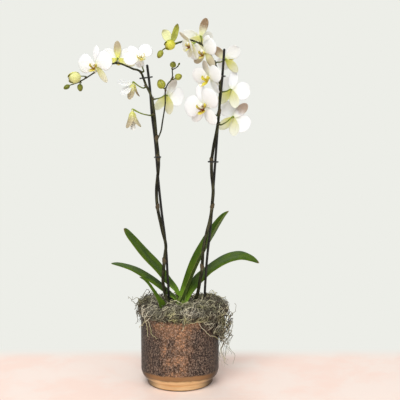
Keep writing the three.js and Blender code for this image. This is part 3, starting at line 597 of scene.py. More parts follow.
# ---------------------------------------------------------------- crown
# The short upright stem that leaves and spikes grow from. It is wrapped in the sheaths of older leaves,
# one over the other: the lowest have dried to brown paper, and the upper ones are still pale green.

CROWN = {"x": 2, "y": -2, "bottom": 98, "top": 152, "radius": 8.3}
SHEATHS_HIGH = 58  # how far the sheaths reach up from the crown's foot

# Each sheath: its lower and upper height, the way it faces in degrees, its half width, and how dry it is.
SHEATHS = [
    (100, 128, 200, 115, 1.0), (104, 134, 20, 110, 0.9), (110, 141, 185, 100, 0.7), (116, 147, -5, 95, 0.4),
    (122, 157, 178, 84, 0.1), (126, 162, 8, 76, 0.0), (122, 154, 262, 70, 0.1),
]

SHEATH_THICKNESS = 0.7

crown_outline = [
    *arc((0, CROWN["bottom"] + 3), (CROWN["radius"] * 0.8, 3), -90, 0, 6),
    *line((CROWN["radius"], CROWN["bottom"] + 14), (CROWN["radius"] * 0.42, CROWN["top"] - 9), 24),
    *arc((0, CROWN["top"] - 9), (CROWN["radius"] * 0.42, 8), 0, 88, 8),
]
crown_points, crown_faces = lathe(crown_outline, 40)
crown_points = crown_points * (1.15, 0.85, 1) + (CROWN["x"], CROWN["y"], 0)
crown_surface = Surface()
crown_surface.add(crown_points * MM, crown_faces, dry=0.2, along=0.3)

for number, (low, high, facing, half_width, dry) in enumerate(SHEATHS):
    u, x = sheet_grid(26, 31)
    narrow = 1 - 0.82 * u**2.2
    turn = np.radians(facing + half_width * x * narrow)
    loose = 1.2 + 0.35 * number % 1.1 + 2.2 * u**3 * (0.4 + dry)
    reach = CROWN["radius"] * (
        1.02 - 0.36 * ((low - CROWN["bottom"]) / SHEATHS_HIGH + u * (high - low) / SHEATHS_HIGH)
    ) + loose
    frayed = dry * 0.6 * np.sin(9 * x + 5 * u + number) * u
    height = low + (high - low) * u * (1 - 0.12 * x**2) + frayed
    out_x, out_y = 1.15 * reach * np.cos(turn), 0.85 * reach * np.sin(turn)
    sheath = np.stack([CROWN["x"] + out_x, CROWN["y"] + out_y, height], axis=2)
    add_sheet(crown_surface, sheath, SHEATH_THICKNESS, dry=dry)

sheath_skin, tree, shader = new_material("leaf_sheath", Roughness=0.5)
dryness = mark_value(tree, "dry")
lines = use_effect(veins, Across=mark_value(tree, "across"), Count=16.0, Waver=0.05)["Veins"]
mottle = use_effect(patches, Place=object_place(tree), Patch_Scale=120.0, Speckle_Scale=700.0)
fresh = mix_colour(mark_value(tree, "along"), srgb(140, 166, 60), srgb(86, 120, 30))
fresh = mix_colour(times(lines, 0.3), fresh, srgb(196, 208, 130))
papery = mix_colour(mottle["Patches"], srgb(72, 54, 36), srgb(138, 112, 78))
papery = mix_colour(times(lines, 0.5), papery, srgb(50, 38, 28))
feed(
    shader, Base_Color=mix_colour(dryness, fresh, papery), Roughness=spread(dryness, 0, 1, 0.42, 0.9),
    Normal=bump(lines, 0.5, 0.0004),
)
crown_surface.piece("orchid_crown", [sheath_skin], "crown", ["crown"])

# ---------------------------------------------------------------- flower spikes and side branch
# Two arching flower spikes and the left one's thin side branch: round, wiry stems, olive brown with a waxy
# bloom. A papery scale wraps each node, and a small one stands under each flower stalk.


def geometry_tree(name, inputs):
    """A geometry node group that takes a mesh and the named inputs. Returns it with its input sockets."""
    group = bpy.data.node_groups.new(name, "GeometryNodeTree")
    group.interface.new_socket("Geometry", in_out="INPUT", socket_type="NodeSocketGeometry")
    group.interface.new_socket("Geometry", in_out="OUTPUT", socket_type="NodeSocketGeometry")
    for socket, (kind, default) in inputs.items():
        made = group.interface.new_socket(socket, in_out="INPUT", socket_type="NodeSocket" + kind)
        if default is not None:
            made.default_value = default
    return group, wire(group, "NodeGroupInput").outputs


def end_tree(geometry, material):
    """The tree's last nodes: real geometry instead of instances, and its material."""
    real = step("GeometryNodeRealizeInstances", {"Geometry": geometry})
    finished = step("GeometryNodeSetMaterial", {"Geometry": real, "Material": material})
    wire(geometry.id_data, "NodeGroupOutput", {"Geometry": finished})


def carried(tree, name):
    """A number that the mesh carries at each point."""
    return wire(tree, "GeometryNodeInputNamedAttribute", {"Name": name}).outputs[0]


def vector_math(operation, a, b):
    return step("ShaderNodeVectorMath", {0: a, 1: b}, operation=operation)


def scaled(vector, amount):
    return step("ShaderNodeVectorMath", {0: vector, "Scale": amount}, operation="SCALE")


def grown(group, base, values):
    """Runs a geometry tree on a base mesh, with values for its named inputs, and returns a plain mesh."""
    carrier = bpy.data.objects.new("carrier", base)
    bpy.context.scene.collection.objects.link(carrier)
    modifier = carrier.modifiers.new("grow", "NODES")
    modifier.node_group = group
    for item in group.interface.items_tree:
        if item.name in values:
            modifier[item.identifier] = values[item.name]
    depsgraph = bpy.context.evaluated_depsgraph_get()
    result = bpy.data.meshes.new_from_object(carrier.evaluated_get(depsgraph))
    carrier.modifiers.remove(modifier)
    bpy.data.objects.remove(carrier)
    return result


# Sweeps a round section along each line of points, as thick as the line's "thickness" says. The skin is
# uneven, in lumps four times as long as they are wide.
sweep_tree, given = geometry_tree(
    "round_stem_along_path",
    {
        "Sides": ("Int", 12), "Unevenness": ("Float", 0.0), "Lump Scale": ("Float", 300.0),
        "Material": ("Material", None),
    },
)
lines_in = step("GeometryNodeMeshToCurve", {"Mesh": given["Geometry"]})
section = step("GeometryNodeCurvePrimitiveCircle", {"Resolution": given["Sides"], "Radius": 1.0})
thickness = carried(sweep_tree, "thickness")
along_line = {"Curve": lines_in, "Profile Curve": section, "Scale": thickness, "Fill Caps": True}
swept = step("GeometryNodeCurveToMesh", along_line)
stretched = vector_math("MULTIPLY", wire(sweep_tree, "GeometryNodeInputPosition").outputs[0], (1, 1, 0.25))
lump = step("ShaderNodeTexNoise", {"Vector": stretched, "Scale": given["Lump Scale"]})
lift = times(less(lump, 0.5), given["Unevenness"])
outward = scaled(wire(sweep_tree, "GeometryNodeInputNormal").outputs[0], lift)
uneven = step("GeometryNodeSetPosition", {"Geometry": swept, "Offset": outward})
end_tree(uneven, given["Material"])


def path_line(route, radii, count, **marks):
    """A line for the sweep: points along a route in millimetres, with round ends and marks along it."""
    path = smooth_path(route, count)
    share = np.linspace(0, 1, count)
    thick = eased(radii, share)
    curl = np.radians([90, 72, 54, 36, 18])
    first, last = unit(path[0] - path[1]), unit(path[-1] - path[-2])
    head = [path[0] + first * thick[0] * math.sin(a) for a in curl]
    tail = [path[-1] + last * thick[-1] * math.sin(a) for a in curl[::-1]]
    line_marks = {"along": np.concatenate([[0] * 5, share, [1] * 5])}
    for name, value in marks.items():
        line_marks[name] = np.interp(
            line_marks["along"], np.linspace(0, 1, np.size(value)), np.ravel(value),
        )
    ends = np.maximum(np.cos(curl), 0.03)
    line_marks["thickness"] = np.concatenate([thick[0] * ends, thick, thick[-1] * ends[::-1]]) * MM
    return np.concatenate([head, path, tail]) * MM, line_marks


def sweep(lines, material, sides=12, unevenness=0.0, lump_scale=300.0):
    """One mesh with a round stem along each line."""
    mesh = bpy.data.meshes.new("lines")
    points = np.concatenate([line_points for line_points, _ in lines])
    edges = []
    start = 0
    for line_points, _ in lines:
        edges += [(start + i, start + i + 1) for i in range(len(line_points) - 1)]
        start += len(line_points)
    mesh.from_pydata(points.tolist(), edges, [])
    for mark in sorted({name for _, marks in lines for name in marks}):
        values = [marks.get(mark, np.zeros(len(line_points))) for line_points, marks in lines]
        attribute = mesh.attributes.new(mark, "FLOAT", "POINT")
        attribute.data.foreach_set("value", np.concatenate(values).astype(np.float32))
    sizes = {"Sides": sides, "Unevenness": unevenness, "Lump Scale": lump_scale, "Material": material}
    return grown(sweep_tree, mesh, sizes)


STEMS = {
    "spike_left": {
        "route": [
            (-7.5, -6, 112), (-14, -14, 132), (-24, -17, 156), (-28, -18, 177), (-27, -20, 200),
            (-25, -20, 223), (-23, -20, 243), (-29, -19, 269), (-37, -17, 309), (-38.3, -15, 338),
            (-36.2, -14, 360), (-34.6, -13, 379), (-35.6, -12, 399), (-38, -11, 421),
            (-40.5, -10, 453), (-43, -9, 475), (-45.5, -9, 490),
            (-50, -9, 501), (-55, -9, 511), (-59, -10, 522), (-62, -13, 530), (-67, -17, 535),
            (-75, -20, 537), (-84, -23, 541), (-100, -27, 546), (-120, -32, 541), (-136, -37, 531),
            (-148, -40, 523), (-158, -42, 517), (-164, -43, 514), (-170, -44, 512),
        ],
        "radii": [2.9, 2.8, 2.7, 2.7, 2.7, 2.6, 2.4, 2.1, 1.7, 1.3, 1],
        "nodes": [(-26, -20, 215), (-36, -17, 306), (-35, -13, 388), (-38, -11, 421)],
    },
    "spike_right": {
        "route": [
            (11.5, -5, 112), (20, -10, 132), (30, -16, 156), (34, -18, 177), (38, -19, 200),
            (39, -20, 216), (40, -20, 233), (45, -19, 259), (53, -17, 292), (56, -15, 319),
            (57, -14, 336), (54.6, -13, 361), (54.2, -12, 383), (57.4, -12, 408), (64, -12, 443),
            (67, -12, 473), (68, -12, 500), (67, -12, 520), (63, -13, 537), (56, -15, 553),
            (48, -17, 566), (40, -19, 575), (28, -22, 581), (15, -24, 584), (3, -27, 580),
            (-11, -31, 574), (-23, -34, 569),
        ],
        "radii": [2.9, 2.9, 2.8, 2.8, 2.8, 2.7, 2.5, 2.2, 1.8, 1.4, 1],
        "nodes": [(38, -20, 205), (55, -16, 306), (54, -12, 383), (66, -12, 464)],
    },
    "side_branch": {
        "route": [
            (-38, -11, 421), (-36.5, -10.3, 422), (-31, -7, 434), (-28, -6, 451), (-23.5, -4, 480),
            (-23, -4, 501), (-19, -4, 513), (-13, -4, 520), (-11, -4, 528), (-11, -4, 536),
            (-6, -4, 539), (-2, -4, 542),
        ],
        "radii": [1.3, 1.15, 0.9],
        "nodes": [(-23, -4, 501), (-13, -4, 520)],
    },
}
STEM_POINTS = 520
SCALE_THICKNESS = 0.35


def nearest_on(stem, place):
    """Where a stem's centre line comes nearest to a place: the point, the radius and the way it runs."""
    away = np.linalg.norm(stem["path"] - np.asarray(place, float), axis=1)
    i = int(away.argmin())
    run = unit(stem["path"][min(i + 2, STEM_POINTS - 1)] - stem["path"][max(i - 2, 0)])
    return stem["path"][i], stem["thick"][i], run, i / (STEM_POINTS - 1)


def add_scale(surface, stem, place, side, length, loose, dry, finish=0):
    """A pointed scale that wraps a stem at a node, on the side given, and stands off it at its tip."""
    centre, radius, run, _ = nearest_on(stem, place)
    out = square_to(side, run)
    beside = np.cross(run, out)
    u, x = sheet_grid(18, 21)
    turn = np.radians(135) * x * (1 - u**1.7) * 0.98 + 0.02 * x
    reach = radius + 0.3 + loose * u**2
    rise = length * (u - 0.06) * (1 - 0.1 * x**2)
    sheet = laid_out(centre, (run, rise), (out, reach * np.cos(turn)), (beside, reach * np.sin(turn)))
    points, faces, along, across, _ = thin_sheet(sheet, SCALE_THICKNESS)
    surface.add(points * MM, faces, finish, along=along, across=across, dry=dry)


for stem in STEMS.values():
    stem["path"] = smooth_path(stem["route"], STEM_POINTS)
    stem["thick"] = eased(stem["radii"], np.linspace(0, 1, STEM_POINTS))
    for place in stem["nodes"]:
        share = nearest_on(stem, place)[3]
        swell = np.exp(-(((np.linspace(0, 1, STEM_POINTS) - share) / 0.006) ** 2))
        stem["thick"] = stem["thick"] * (1 + 0.16 * swell)
        stem["joints"] = stem.get("joints", 0) + swell

stem_skin, tree, shader = new_material("stem_skin", Roughness=0.6, Specular_IOR_Level=0.14)
streak_place = object_place(tree, (1, 1, 0.12))
streaks = noise_value(streak_place, 900.0, 4, 0.65)
bloom = use_effect(patches, Place=object_place(tree, (1, 1, 0.4)), Patch_Scale=130.0, Cover=0.55)
ripe = mark_value(tree, "ripe")
dark_skin = mix_colour(spread(streaks, 0.35, 0.7), srgb(10, 8, 5), srgb(38, 34, 22))
dark_skin = mix_colour(times(bloom["Patches"], 0.5), dark_skin, srgb(92, 90, 66))
joint_mark = times(mark_value(tree, "joints"), 0.5, True)
dark_skin = mix_colour(joint_mark, dark_skin, srgb(120, 112, 90))
green_skin = mix_colour(spread(streaks, 0.35, 0.7), srgb(96, 112, 34), srgb(164, 178, 78))
skin = mix_colour(ripe, dark_skin, green_skin)
papery = mix_colour(streaks, srgb(52, 42, 28), srgb(120, 106, 80))
skin = mix_colour(mark_value(tree, "dry"), skin, papery)
feed(
    shader, Base_Color=skin, Roughness=spread(streaks, 0.3, 0.7, 0.38, 0.62),
    Normal=bump(streaks, 0.35, 0.0003),
)


def add_mesh(surface, mesh, finish=0, **marks):
    """Adds a grown mesh to a piece's skins. It keeps the marks that it carries, apart from those given."""
    points = np.empty(len(mesh.vertices) * 3)
    mesh.vertices.foreach_get("co", points)
    carried_marks = {}
    for attribute in mesh.attributes:
        if attribute.domain == "POINT" and attribute.data_type == "FLOAT" and attribute.name != "thickness":
            values = np.empty(len(mesh.vertices))
            attribute.data.foreach_get("value", values)
            carried_marks[attribute.name] = values
    faces = [tuple(polygon.vertices) for polygon in mesh.polygons]
    surface.add(points.reshape(-1, 3), faces, finish, **{**carried_marks, **marks})
    bpy.data.meshes.remove(mesh)


for name, stem in STEMS.items():
    stem_surface = Surface()
    shrink = 0.85 if name == "side_branch" else 1.0
    stem_line = path_line(
        stem["path"][::2], stem["thick"][::4], STEM_POINTS, ripe=[0.04, 0.0, 0.1], joints=stem["joints"],
    )
    add_mesh(stem_surface, sweep([stem_line], stem_skin, sides=20, unevenness=0.00035, lump_scale=420.0))
    for number, place in enumerate(stem["nodes"]):
        side = (0.6 if number % 2 else -0.6, -0.8, 0)
        add_scale(stem_surface, stem, place, side, length=9 * shrink, loose=0.8, dry=0.7)
    stem_surface.piece("orchid_" + name, [stem_skin], "stem", [name])

# ---------------------------------------------------------------- stakes
# Two plastic-coated steel wires, black and slightly bent with the spikes that lean on them. Each is pushed
# through the bark to the bottom of the inner pot.

STAKES = {
    "stake_left": [
        (-15, -3, 18), (-18, -5, 100), (-19, -8, 156), (-21, -11, 198), (-22, -12, 221), (-25, -12, 258),
        (-30, -10, 297), (-36, -7, 356), (-41, -4, 420), (-46, -3, 463), (-49, -3, 507), (-53, -5, 543),
    ],
    "stake_right": [
        (38, -5, 18), (41, -6, 100), (43, -9, 158), (46, -12, 209), (48, -12, 231), (53, -11, 275),
        (56, -8, 318), (59, -6, 361), (62, -5, 404), (67, -5, 473), (70, -5, 502), (73, -6, 538),
        (75, -7, 569),
    ],
}
STAKE_RADIUS = 2.1

coating, tree, shader = new_material("black_coated_wire", Specular_IOR_Level=0.25)
drawn = noise_value(object_place(tree, (1, 1, 0.03)), 1400.0, 3)
dust = use_effect(patches, Place=object_place(tree), Patch_Scale=70.0, Speckle_Scale=1500.0)
black = mix_colour(drawn, srgb(14, 13, 12), srgb(32, 31, 29))
dusty = times(times(dust["Patches"], dust["Speckle"]), 0.22)
feed(
    shader, Base_Color=mix_colour(dusty, black, srgb(112, 106, 96)),
    Roughness=spread(drawn, 0.3, 0.7, 0.34, 0.55), Normal=bump(drawn, 0.25, 0.0002),
)

stakes = {}
for name, route in STAKES.items():
    stakes[name] = {"path": smooth_path(route, STEM_POINTS), "thick": np.full(STEM_POINTS, STAKE_RADIUS)}
    stake_line = path_line(route, [STAKE_RADIUS, STAKE_RADIUS], 160)
    stake_mesh = sweep([stake_line], coating, sides=24, unevenness=0.00006)
    place_piece(stake_mesh, "orchid_" + name, [coating], [name])

# ---------------------------------------------------------------- clips
# Four small black plastic clips hold the spikes to their stakes. Each is a springy loop round both, with a
# ribbed finger tab at either end.

CLIP = {"height": 2.4, "wall": 1.4, "slack": 0.7, "tab_length": 5, "tab_width": 1.7}
CLIPS = {
    "clip_left_low": ("spike_left", "stake_left", 391),
    "clip_left_high": ("spike_left", "stake_left", 522),
    "clip_right_low": ("spike_right", "stake_right", 383),
    "clip_right_high": ("spike_right", "stake_right", 526),
}


def soft_box(length, width, height, ribs=0):
    """A bar along X with rounded edges and ends, centred on the origin, ribbed on its broad sides."""
    rows = 26
    u = np.linspace(-1, 1, rows)
    angle = np.linspace(0, 2 * math.pi, 24, endpoint=False)
    cos, sin = np.cos(angle), np.sin(angle)
    ring = np.stack(
        [np.sign(cos) * np.abs(cos) ** 0.45 * width / 2, np.sign(sin) * np.abs(sin) ** 0.45 * height / 2]
    )
    swell = (1 - np.abs(u) ** 6 * 0.9) ** 0.5 * (1 + 0.09 * np.cos(u * ribs * math.pi) * (ribs > 0))
    rings = np.empty((rows, len(angle), 3))
    rings[:, :, 0] = (u * length / 2)[:, None]
    rings[:, :, 1] = swell[:, None] * ring[0]
    rings[:, :, 2] = swell[:, None] * ring[1]
    return ringed_skin(rings, (-length / 2, 0, 0), (length / 2, 0, 0))


def clip_loop(reach, near_radius, far_radius):
    """The band round two round things that lie reach apart, gridded round the loop and its section."""
    first = np.radians(np.linspace(90, 270, 20))
    second = np.radians(np.linspace(-90, 90, 20))
    middle = CLIP["slack"] + CLIP["wall"] / 2
    centres = [(math.cos(a) * (near_radius + middle), math.sin(a) * (near_radius + middle)) for a in first]
    centres += [
        (reach + math.cos(a) * (far_radius + middle), math.sin(a) * (far_radius + middle)) for a in second
    ]
    normals = [(math.cos(a), math.sin(a)) for a in [*first, *second]]
    section = np.radians(np.arange(16) * 22.5)
    cos, sin = np.cos(section), np.sin(section)
    side = np.sign(cos) * np.abs(cos) ** 0.5 * CLIP["wall"] / 2
    rise = np.sign(sin) * np.abs(sin) ** 0.5 * CLIP["height"] / 2
    rings = [
        [
            (x + out_x * s, y + out_y * s, z) for s, z in zip(side, rise)
        ] for (x, y), (out_x, out_y) in zip(centres, normals)
    ]
    rows, columns = len(rings), len(section)
    faces = grid_faces(rows, columns, closed=True)
    last = (rows - 1) * columns
    faces += [(last + c, last + (c + 1) % columns, (c + 1) % columns, c) for c in range(columns)]
    return np.array(rings).reshape(-1, 3), faces


clip_plastic, tree, shader = new_material("black_clip_plastic", Roughness=0.38)
moulding = noise_value(object_place(tree), 900.0, 3)
feed(
    shader, Base_Color=mix_colour(moulding, srgb(16, 16, 16), srgb(30, 30, 29)),
    Roughness=spread(moulding, 0.3, 0.7, 0.3, 0.46), Normal=bump(moulding, 0.15, 0.0002),
)

for name, (spike, stake, height) in CLIPS.items():
    level = int(np.argmax(STEMS[spike]["path"][:, 2] > height))
    centre = STEMS[spike]["path"][level]
    near_radius = STEMS[spike]["thick"][level]
    post, far_radius, along, _ = nearest_on(stakes[stake], centre)
    across = square_to(post - centre, along)
    reach = float(np.linalg.norm(post - centre))
    clip_surface = Surface()
    skins = [clip_loop(reach, near_radius, far_radius)]
    for end in (-1, 1):
        wall = -near_radius - CLIP["slack"] if end < 0 else reach + far_radius + CLIP["slack"]
        points, faces = soft_box(CLIP["tab_length"], CLIP["tab_width"], CLIP["height"], ribs=4)
        skins.append((points + (wall + end * (CLIP["tab_length"] / 2 + 0.2), 0, 0), faces))
    for points, faces in skins:
        turned = centre + points @ np.array([across, np.cross(along, across), along])
        clip_surface.add(turned * MM, faces)
    clip_surface.piece("orchid_" + name, [clip_plastic], "clip", [name])

# ---------------------------------------------------------------- open flowers
# Fourteen white moth orchids. Each has three narrow sepals behind two broad round petals, and a short
# column in the middle. Backs and bases are tinted yellow-green, and some sepals blush bronze at the tip.

TEPAL_START = 0.9
SEPAL = {"length": 31, "width": 17.5, "widest": 0.52, "claw": 0.3, "thick": 0.75}
PETAL = {"length": 31, "width": 31.5, "widest": 0.54, "claw": 0.13, "thick": 0.65}
SEPAL_SET = -2.2  # sepals are attached this far in front of the flower's centre, so behind it
PETAL_SET = 0.5
TEPAL_ROWS = 34
TEPAL_COLUMNS = 27
TEPAL_CROWDING = 1.15  # how much closer together the rows lie at a tip

# at: the flower's centre. joint: where its stalk leaves the spike. fold: how far each of its five leaves
# leans forward, in degrees. bronze, ripe: how bronze or yellow-green the upright, left and right sepals
# are, 0 to 1. green: the same for the petals' backs. slim, petal_slim: how narrow its sepals and petals
# are. wrap: how far each of the five bends round the axis, in a drooping flower that has closed to a bell.
FLOWERS = {
    "flower_left_1": {
        "at": (-132, -59, 541), "joint": (-126, -33, 540), "facing": (-0.4, -0.88, -0.1),
        "up": (0.08, 0, 1), "bronze": (0, 0.1, 0.3), "green": 0.2, "ripe": (0, 0.6, 1.0),
        "angles": (-6, 128, -142, 84, -62), "fold": (8, -40, 4, 6, 6), "slim": 0.68,
    },
    "flower_left_2": {
        "at": (-102, -4, 554), "joint": (-100, -27, 547), "facing": (0, 0.98, -0.1),
        "up": (0, 0, 1), "size": 0.93, "bronze": (0.7, 0.3, 0.3), "green": 0.3, "ripe": (1.0, 1.0, 1.0),
        "angles": (0, 112, -106, 72, -72), "slim": 0.78,
    },
    "flower_left_3": {
        "at": (-61, -40, 553), "joint": (-63, -14, 532), "facing": (0.15, -0.92, 0.32),
        "up": (-0.3, 0, 0.95), "size": 0.86, "bronze": (0, 0, 0), "green": 0.2, "ripe": (0, 0.1, 0.1),
        "angles": (20, 132, -122, 74, -50), "fold": (4, -78, -72, 4, 4), "petal_slim": 0.86,
        "lip_size": 1.05,
    },
    "flower_left_4": {
        "at": (-76, -15, 513), "joint": (-54, -9, 508), "facing": (-0.1, 0.5, -0.85), "neck": 4,
        "up": (-0.9, 0, 0.1), "size": 0.84, "lip_size": 0.5, "bronze": (0.6, 1.0, 1.0), "green": 0.2,
        "ripe": (0.8, 1.0, 1.0), "angles": (-70, 170, 60, 10, -36), "fold": (80, 78, 78, 14, 40),
        "slim": 0.95,
        "petal_slim": 0.7, "wrap": (1, 1, 1, 0, 0),
    },
    "flower_left_5": {
        "at": (-78, -8, 468), "joint": (-41, -10, 462), "facing": (0.05, 0.05, -1), "neck": 3,
        "up": (-1, 0.2, 0), "size": 0.97, "fold": (77, 76, 75, 86, 86), "lip_size": 0.36,
        "bronze": (0.7, 0.5, 0.6), "green": 0.8, "ripe": (0.9, 1.0, 1.0),
        "angles": (-60, 60, -165, 30, -90), "slim": 1.0, "petal_slim": 0.4, "wrap": (1, 1, 1, 1, 1),
    },
    "flower_left_6": {
        "at": (-19, 8, 493), "joint": (-44, -9, 487), "facing": (0.5, 0.82, -0.2),
        "up": (0.35, 0, 0.93), "bronze": (0.5, 0.3, 0), "green": 0.15, "ripe": (0.1, 0.9, 0.9),
        "angles": (0, 150, -150, 78, -128), "fold": (8, 8, 8, 6, 46),
    },
    "flower_right_1": {
        "at": (21, -56, 575), "joint": (15, -24, 584), "facing": (-0.84, -0.45, -0.3),
        "up": (0.1, 0, 1), "size": 0.88, "bronze": (0.6, 0.2, 0.2), "green": 1.3,
        "ripe": (0.7, 0.7, 0.8), "angles": (6, 140, -146, 98, -84), "fold": (44, 10, 16, 10, 30),
        "slim": 0.9,
        "petal_slim": 0.8,
    },
    "flower_right_2": {
        "at": (35, 3, 592), "joint": (37, -20, 577), "facing": (-0.25, 0.93, 0.2),
        "up": (0.33, 0, 0.94), "size": 0.98, "bronze": (1.0, 0.2, 0.2), "green": 0.9,
        "ripe": (0.5, 0.8, 0.8),
        "angles": (0, 143, -143, 80, -112), "fold": (2, 8, 8, 34, 30), "slim": 0.86, "petal_slim": 0.62,
    },
    "flower_right_3": {
        "at": (42, -44, 563), "joint": (51, -16, 561), "facing": (-0.66, -0.68, -0.25),
        "up": (0.12, 0, 1), "size": 0.92, "bronze": (0, 1.0, 0.7), "green": 0.3, "ripe": (0.2, 0.9, 0.9),
        "angles": (-24, 126, -140, 84, -58), "fold": (6, 12, 10, 22, 4),
    },
    "flower_right_4": {
        "at": (50, -45, 522), "joint": (67, -12, 517), "facing": (-0.78, -0.55, -0.25),
        "up": (-0.05, -0.1, 0.95), "size": 0.92, "bronze": (0.7, 0.3, 0), "green": 0.4,
        "ripe": (0.4, 0.5, 0.1),
        "angles": (22, 143, -174, 66, -70), "fold": (10, -40, -8, 34, 2), "lip_size": 1.2,
    },
    "flower_right_5": {
        "at": (41, -46, 476), "joint": (66, -12, 461), "facing": (-0.45, -0.87, -0.12),
        "up": (-0.2, 0, 0.95), "size": 1.14, "bronze": (0, 0.1, 0.2), "green": 0.2, "ripe": (0, 0.1, 0.1),
        "angles": (2, 124, -154, 78, -58), "fold": (6, 0, 18, 2, 18), "lip_size": 1.3,
    },
    "flower_right_6": {
        "at": (79, 13, 555), "joint": (60, -14, 546), "facing": (0.4, 0.86, 0.3),
        "up": (-0.75, 0, 0.65), "size": 0.92, "bronze": (0.9, 0, 0), "green": 0.3, "ripe": (0.5, 1.0, 0.8),
        "angles": (0, 178, -170, 96, -92), "fold": (4, 2, 14, 16, 30), "petal_slim": 0.8,
    },
    "flower_right_7": {
        "at": (88, 8, 503), "joint": (68, -12, 500), "facing": (0.3, 0.93, -0.15),
        "up": (0.1, 0, 0.97), "bronze": (0, 0, 0), "green": 0.1, "ripe": (0, 0.7, 1.0),
        "angles": (0, 158, -140, 88, -66), "fold": (8, 8, 8, 8, 12),
    },
    "flower_right_8": {
        "at": (92, 9, 457), "joint": (64, -12, 446), "facing": (0.25, 0.93, -0.2),
        "up": (0.55, 0, 0.83), "bronze": (0.9, 0, 0), "green": 0.1, "ripe": (0, 0.6, 0.9),
        "angles": (8, 142, -160, 90, -66), "fold": (8, 8, 8, 8, 8),
    },
}


def tepal_width(u, widest, claw):
    """Half-share of the widest place, from a narrow claw at the base to a round tip."""
    rise = claw + (1 - claw) * np.sin(np.clip(u / widest, 0, 1) * math.pi / 2) ** 1.25
    fall = np.clip(1 - np.clip((u - widest) / (1 - widest), 0, 1) ** 2.3, 0, 1) ** 0.55
    return np.maximum(np.where(u < widest, rise, fall), 0.03)


def tepal_sheet(shape, size, angle, fold, set_at, draw, wrap, layer):
    """The middle of one sepal or petal in the flower's own frame: X across, Y up, Z to the front. A
    wrapped one bends round Z, further out by its layer."""
    u, x = sheet_grid(TEPAL_ROWS, TEPAL_COLUMNS)
    u = np.sin(u * math.pi / 2) ** TEPAL_CROWDING
    length, width = shape["length"] * size, shape["width"] * size
    wide = width / 2 * tepal_width(u, shape["widest"], shape["claw"])
    edge_bend = -0.04 * width * x**2 * np.sin(np.clip(u * 1.6, 0, 1) * math.pi / 2)
    cup = 0.035 * length * np.sin(u * math.pi) * (1 - 0.5 * x**2)
    wave = 0.018 * width * np.abs(x) ** 2.5 * np.sin(u * draw.uniform(6, 9) + draw.uniform(0, 6) + 1.4 * x)
    midrib = -0.4 * size * np.exp(-((x * wide / 0.9) ** 2)) * (1 - u)
    twist = draw.uniform(-0.08, 0.08) * u * x * wide
    reflex = -draw.uniform(0.05, 0.12) * length * u**2
    side_bend = draw.uniform(-0.04, 0.04) * length * u**2
    spread_x = x * wide + side_bend
    height = TEPAL_START + u * length
    depth = edge_bend + cup + wave + midrib + twist + reflex
    tilt = math.radians(fold + draw.uniform(-4, 4) * (1 - wrap))
    turned_y = height * math.cos(tilt) - depth * math.sin(tilt)
    turned_z = height * math.sin(tilt) + depth * math.cos(tilt) + set_at * size
    if wrap:
        radius = np.maximum(np.mean(turned_y, axis=1, keepdims=True), 0.6) + layer * np.clip(u * 5, 0, 1)
        spread_x, turned_y = radius * np.sin(spread_x / radius), radius * np.cos(spread_x / radius)
    spin = math.radians(angle + draw.uniform(-3, 3))
    cos, sin = math.cos(spin), math.sin(spin)
    return np.stack([spread_x * cos - turned_y * sin, spread_x * sin + turned_y * cos, turned_z], axis=2)


def flower_axes(flower):
    """Rows that turn the flower's own X, Y and Z into the plant's."""
    front = unit(flower["facing"])
    tall = square_to(flower["up"], front)
    return np.array([np.cross(tall, front), tall, front])


# The column's outline as (radius, height along it), and the anther cap that sits on its tip.
COLUMN_OUTLINE = [
    (0.4, -3.6), (1.7, -3), (2.1, -1.4), (2, 0.6), (2.15, 2.4), (2.5, 4.2), (2.75, 5.8), (2.7, 6.9),
    (2.3, 7.7), (1.4, 8.3), (0.3, 8.5),
]
COLUMN_LEAN = math.radians(10)
STALK_RADII = [1.9, 1.25, 1.1, 1.05, 1.15, 1.4, 1.7]
STALK_SAG = 0.06  # as a share of the stalk's length

petal_skin, tree, shader = new_material(
    "petal", Roughness=0.5, Subsurface_Weight=0.35, Subsurface_Scale=0.002,
    Subsurface_Radius=(1, 0.95, 0.9),
)
along = mark_value(tree, "along")
across = mark_value(tree, "across")
behind = mark_value(tree, "back")
bronze = mark_value(tree, "bronze")
ripe = mark_value(tree, "ripe")
place = object_place(tree)
lines = use_effect(veins, Across=across, Along=along, Count=13.0, Waver=0.12)["Veins"]
fine_lines = use_effect(veins, Across=across, Along=along, Count=41.0, Waver=0.2)["Veins"]
cloud = use_effect(patches, Place=place, Patch_Scale=90.0, Speckle_Scale=1600.0, Softness=0.25)
white = mix_colour(times(cloud["Patches"], 0.5), srgb(242, 242, 242), srgb(231, 231, 235))
vein_share = times(times(lines, fine_lines), 0.16)
white = mix_colour(vein_share, white, srgb(214, 216, 224))
base_share = times(spread(along, 0.02, 0.34, 1, 0), 0.45)
white = mix_colour(base_share, white, srgb(236, 238, 176))
front_green = times(ripe, spread(along, 0.1, 0.95, 0.75, 0.35))
front_face = mix_colour(front_green, white, srgb(200, 200, 84))
back_green = times(ripe, spread(along, 0.0, 0.9, 1.0, 0.35))
back_face = mix_colour(back_green, white, srgb(222, 220, 98))
vein_green = times(times(lines, 0.3), ripe)
back_face = mix_colour(vein_green, back_face, srgb(150, 150, 60))
bronze_place = spread(plus(along, times(cloud["Patches"], 0.2)), 0.2, 0.8)
bronze_back = times(times(bronze, bronze_place), 0.9)
back_face = mix_colour(bronze_back, back_face, srgb(138, 106, 70))
front_face = mix_colour(times(bronze_back, 0.75), front_face, srgb(150, 118, 84))
feed(
    shader, Base_Color=mix_colour(behind, front_face, back_face),
    Roughness=spread(cloud["Speckle"], 0, 1, 0.44, 0.56),
)
sparkle = plus(times(lines, 0.6), cloud["Speckle"])
feed(shader, Normal=bump(sparkle, 0.25, 0.0002))

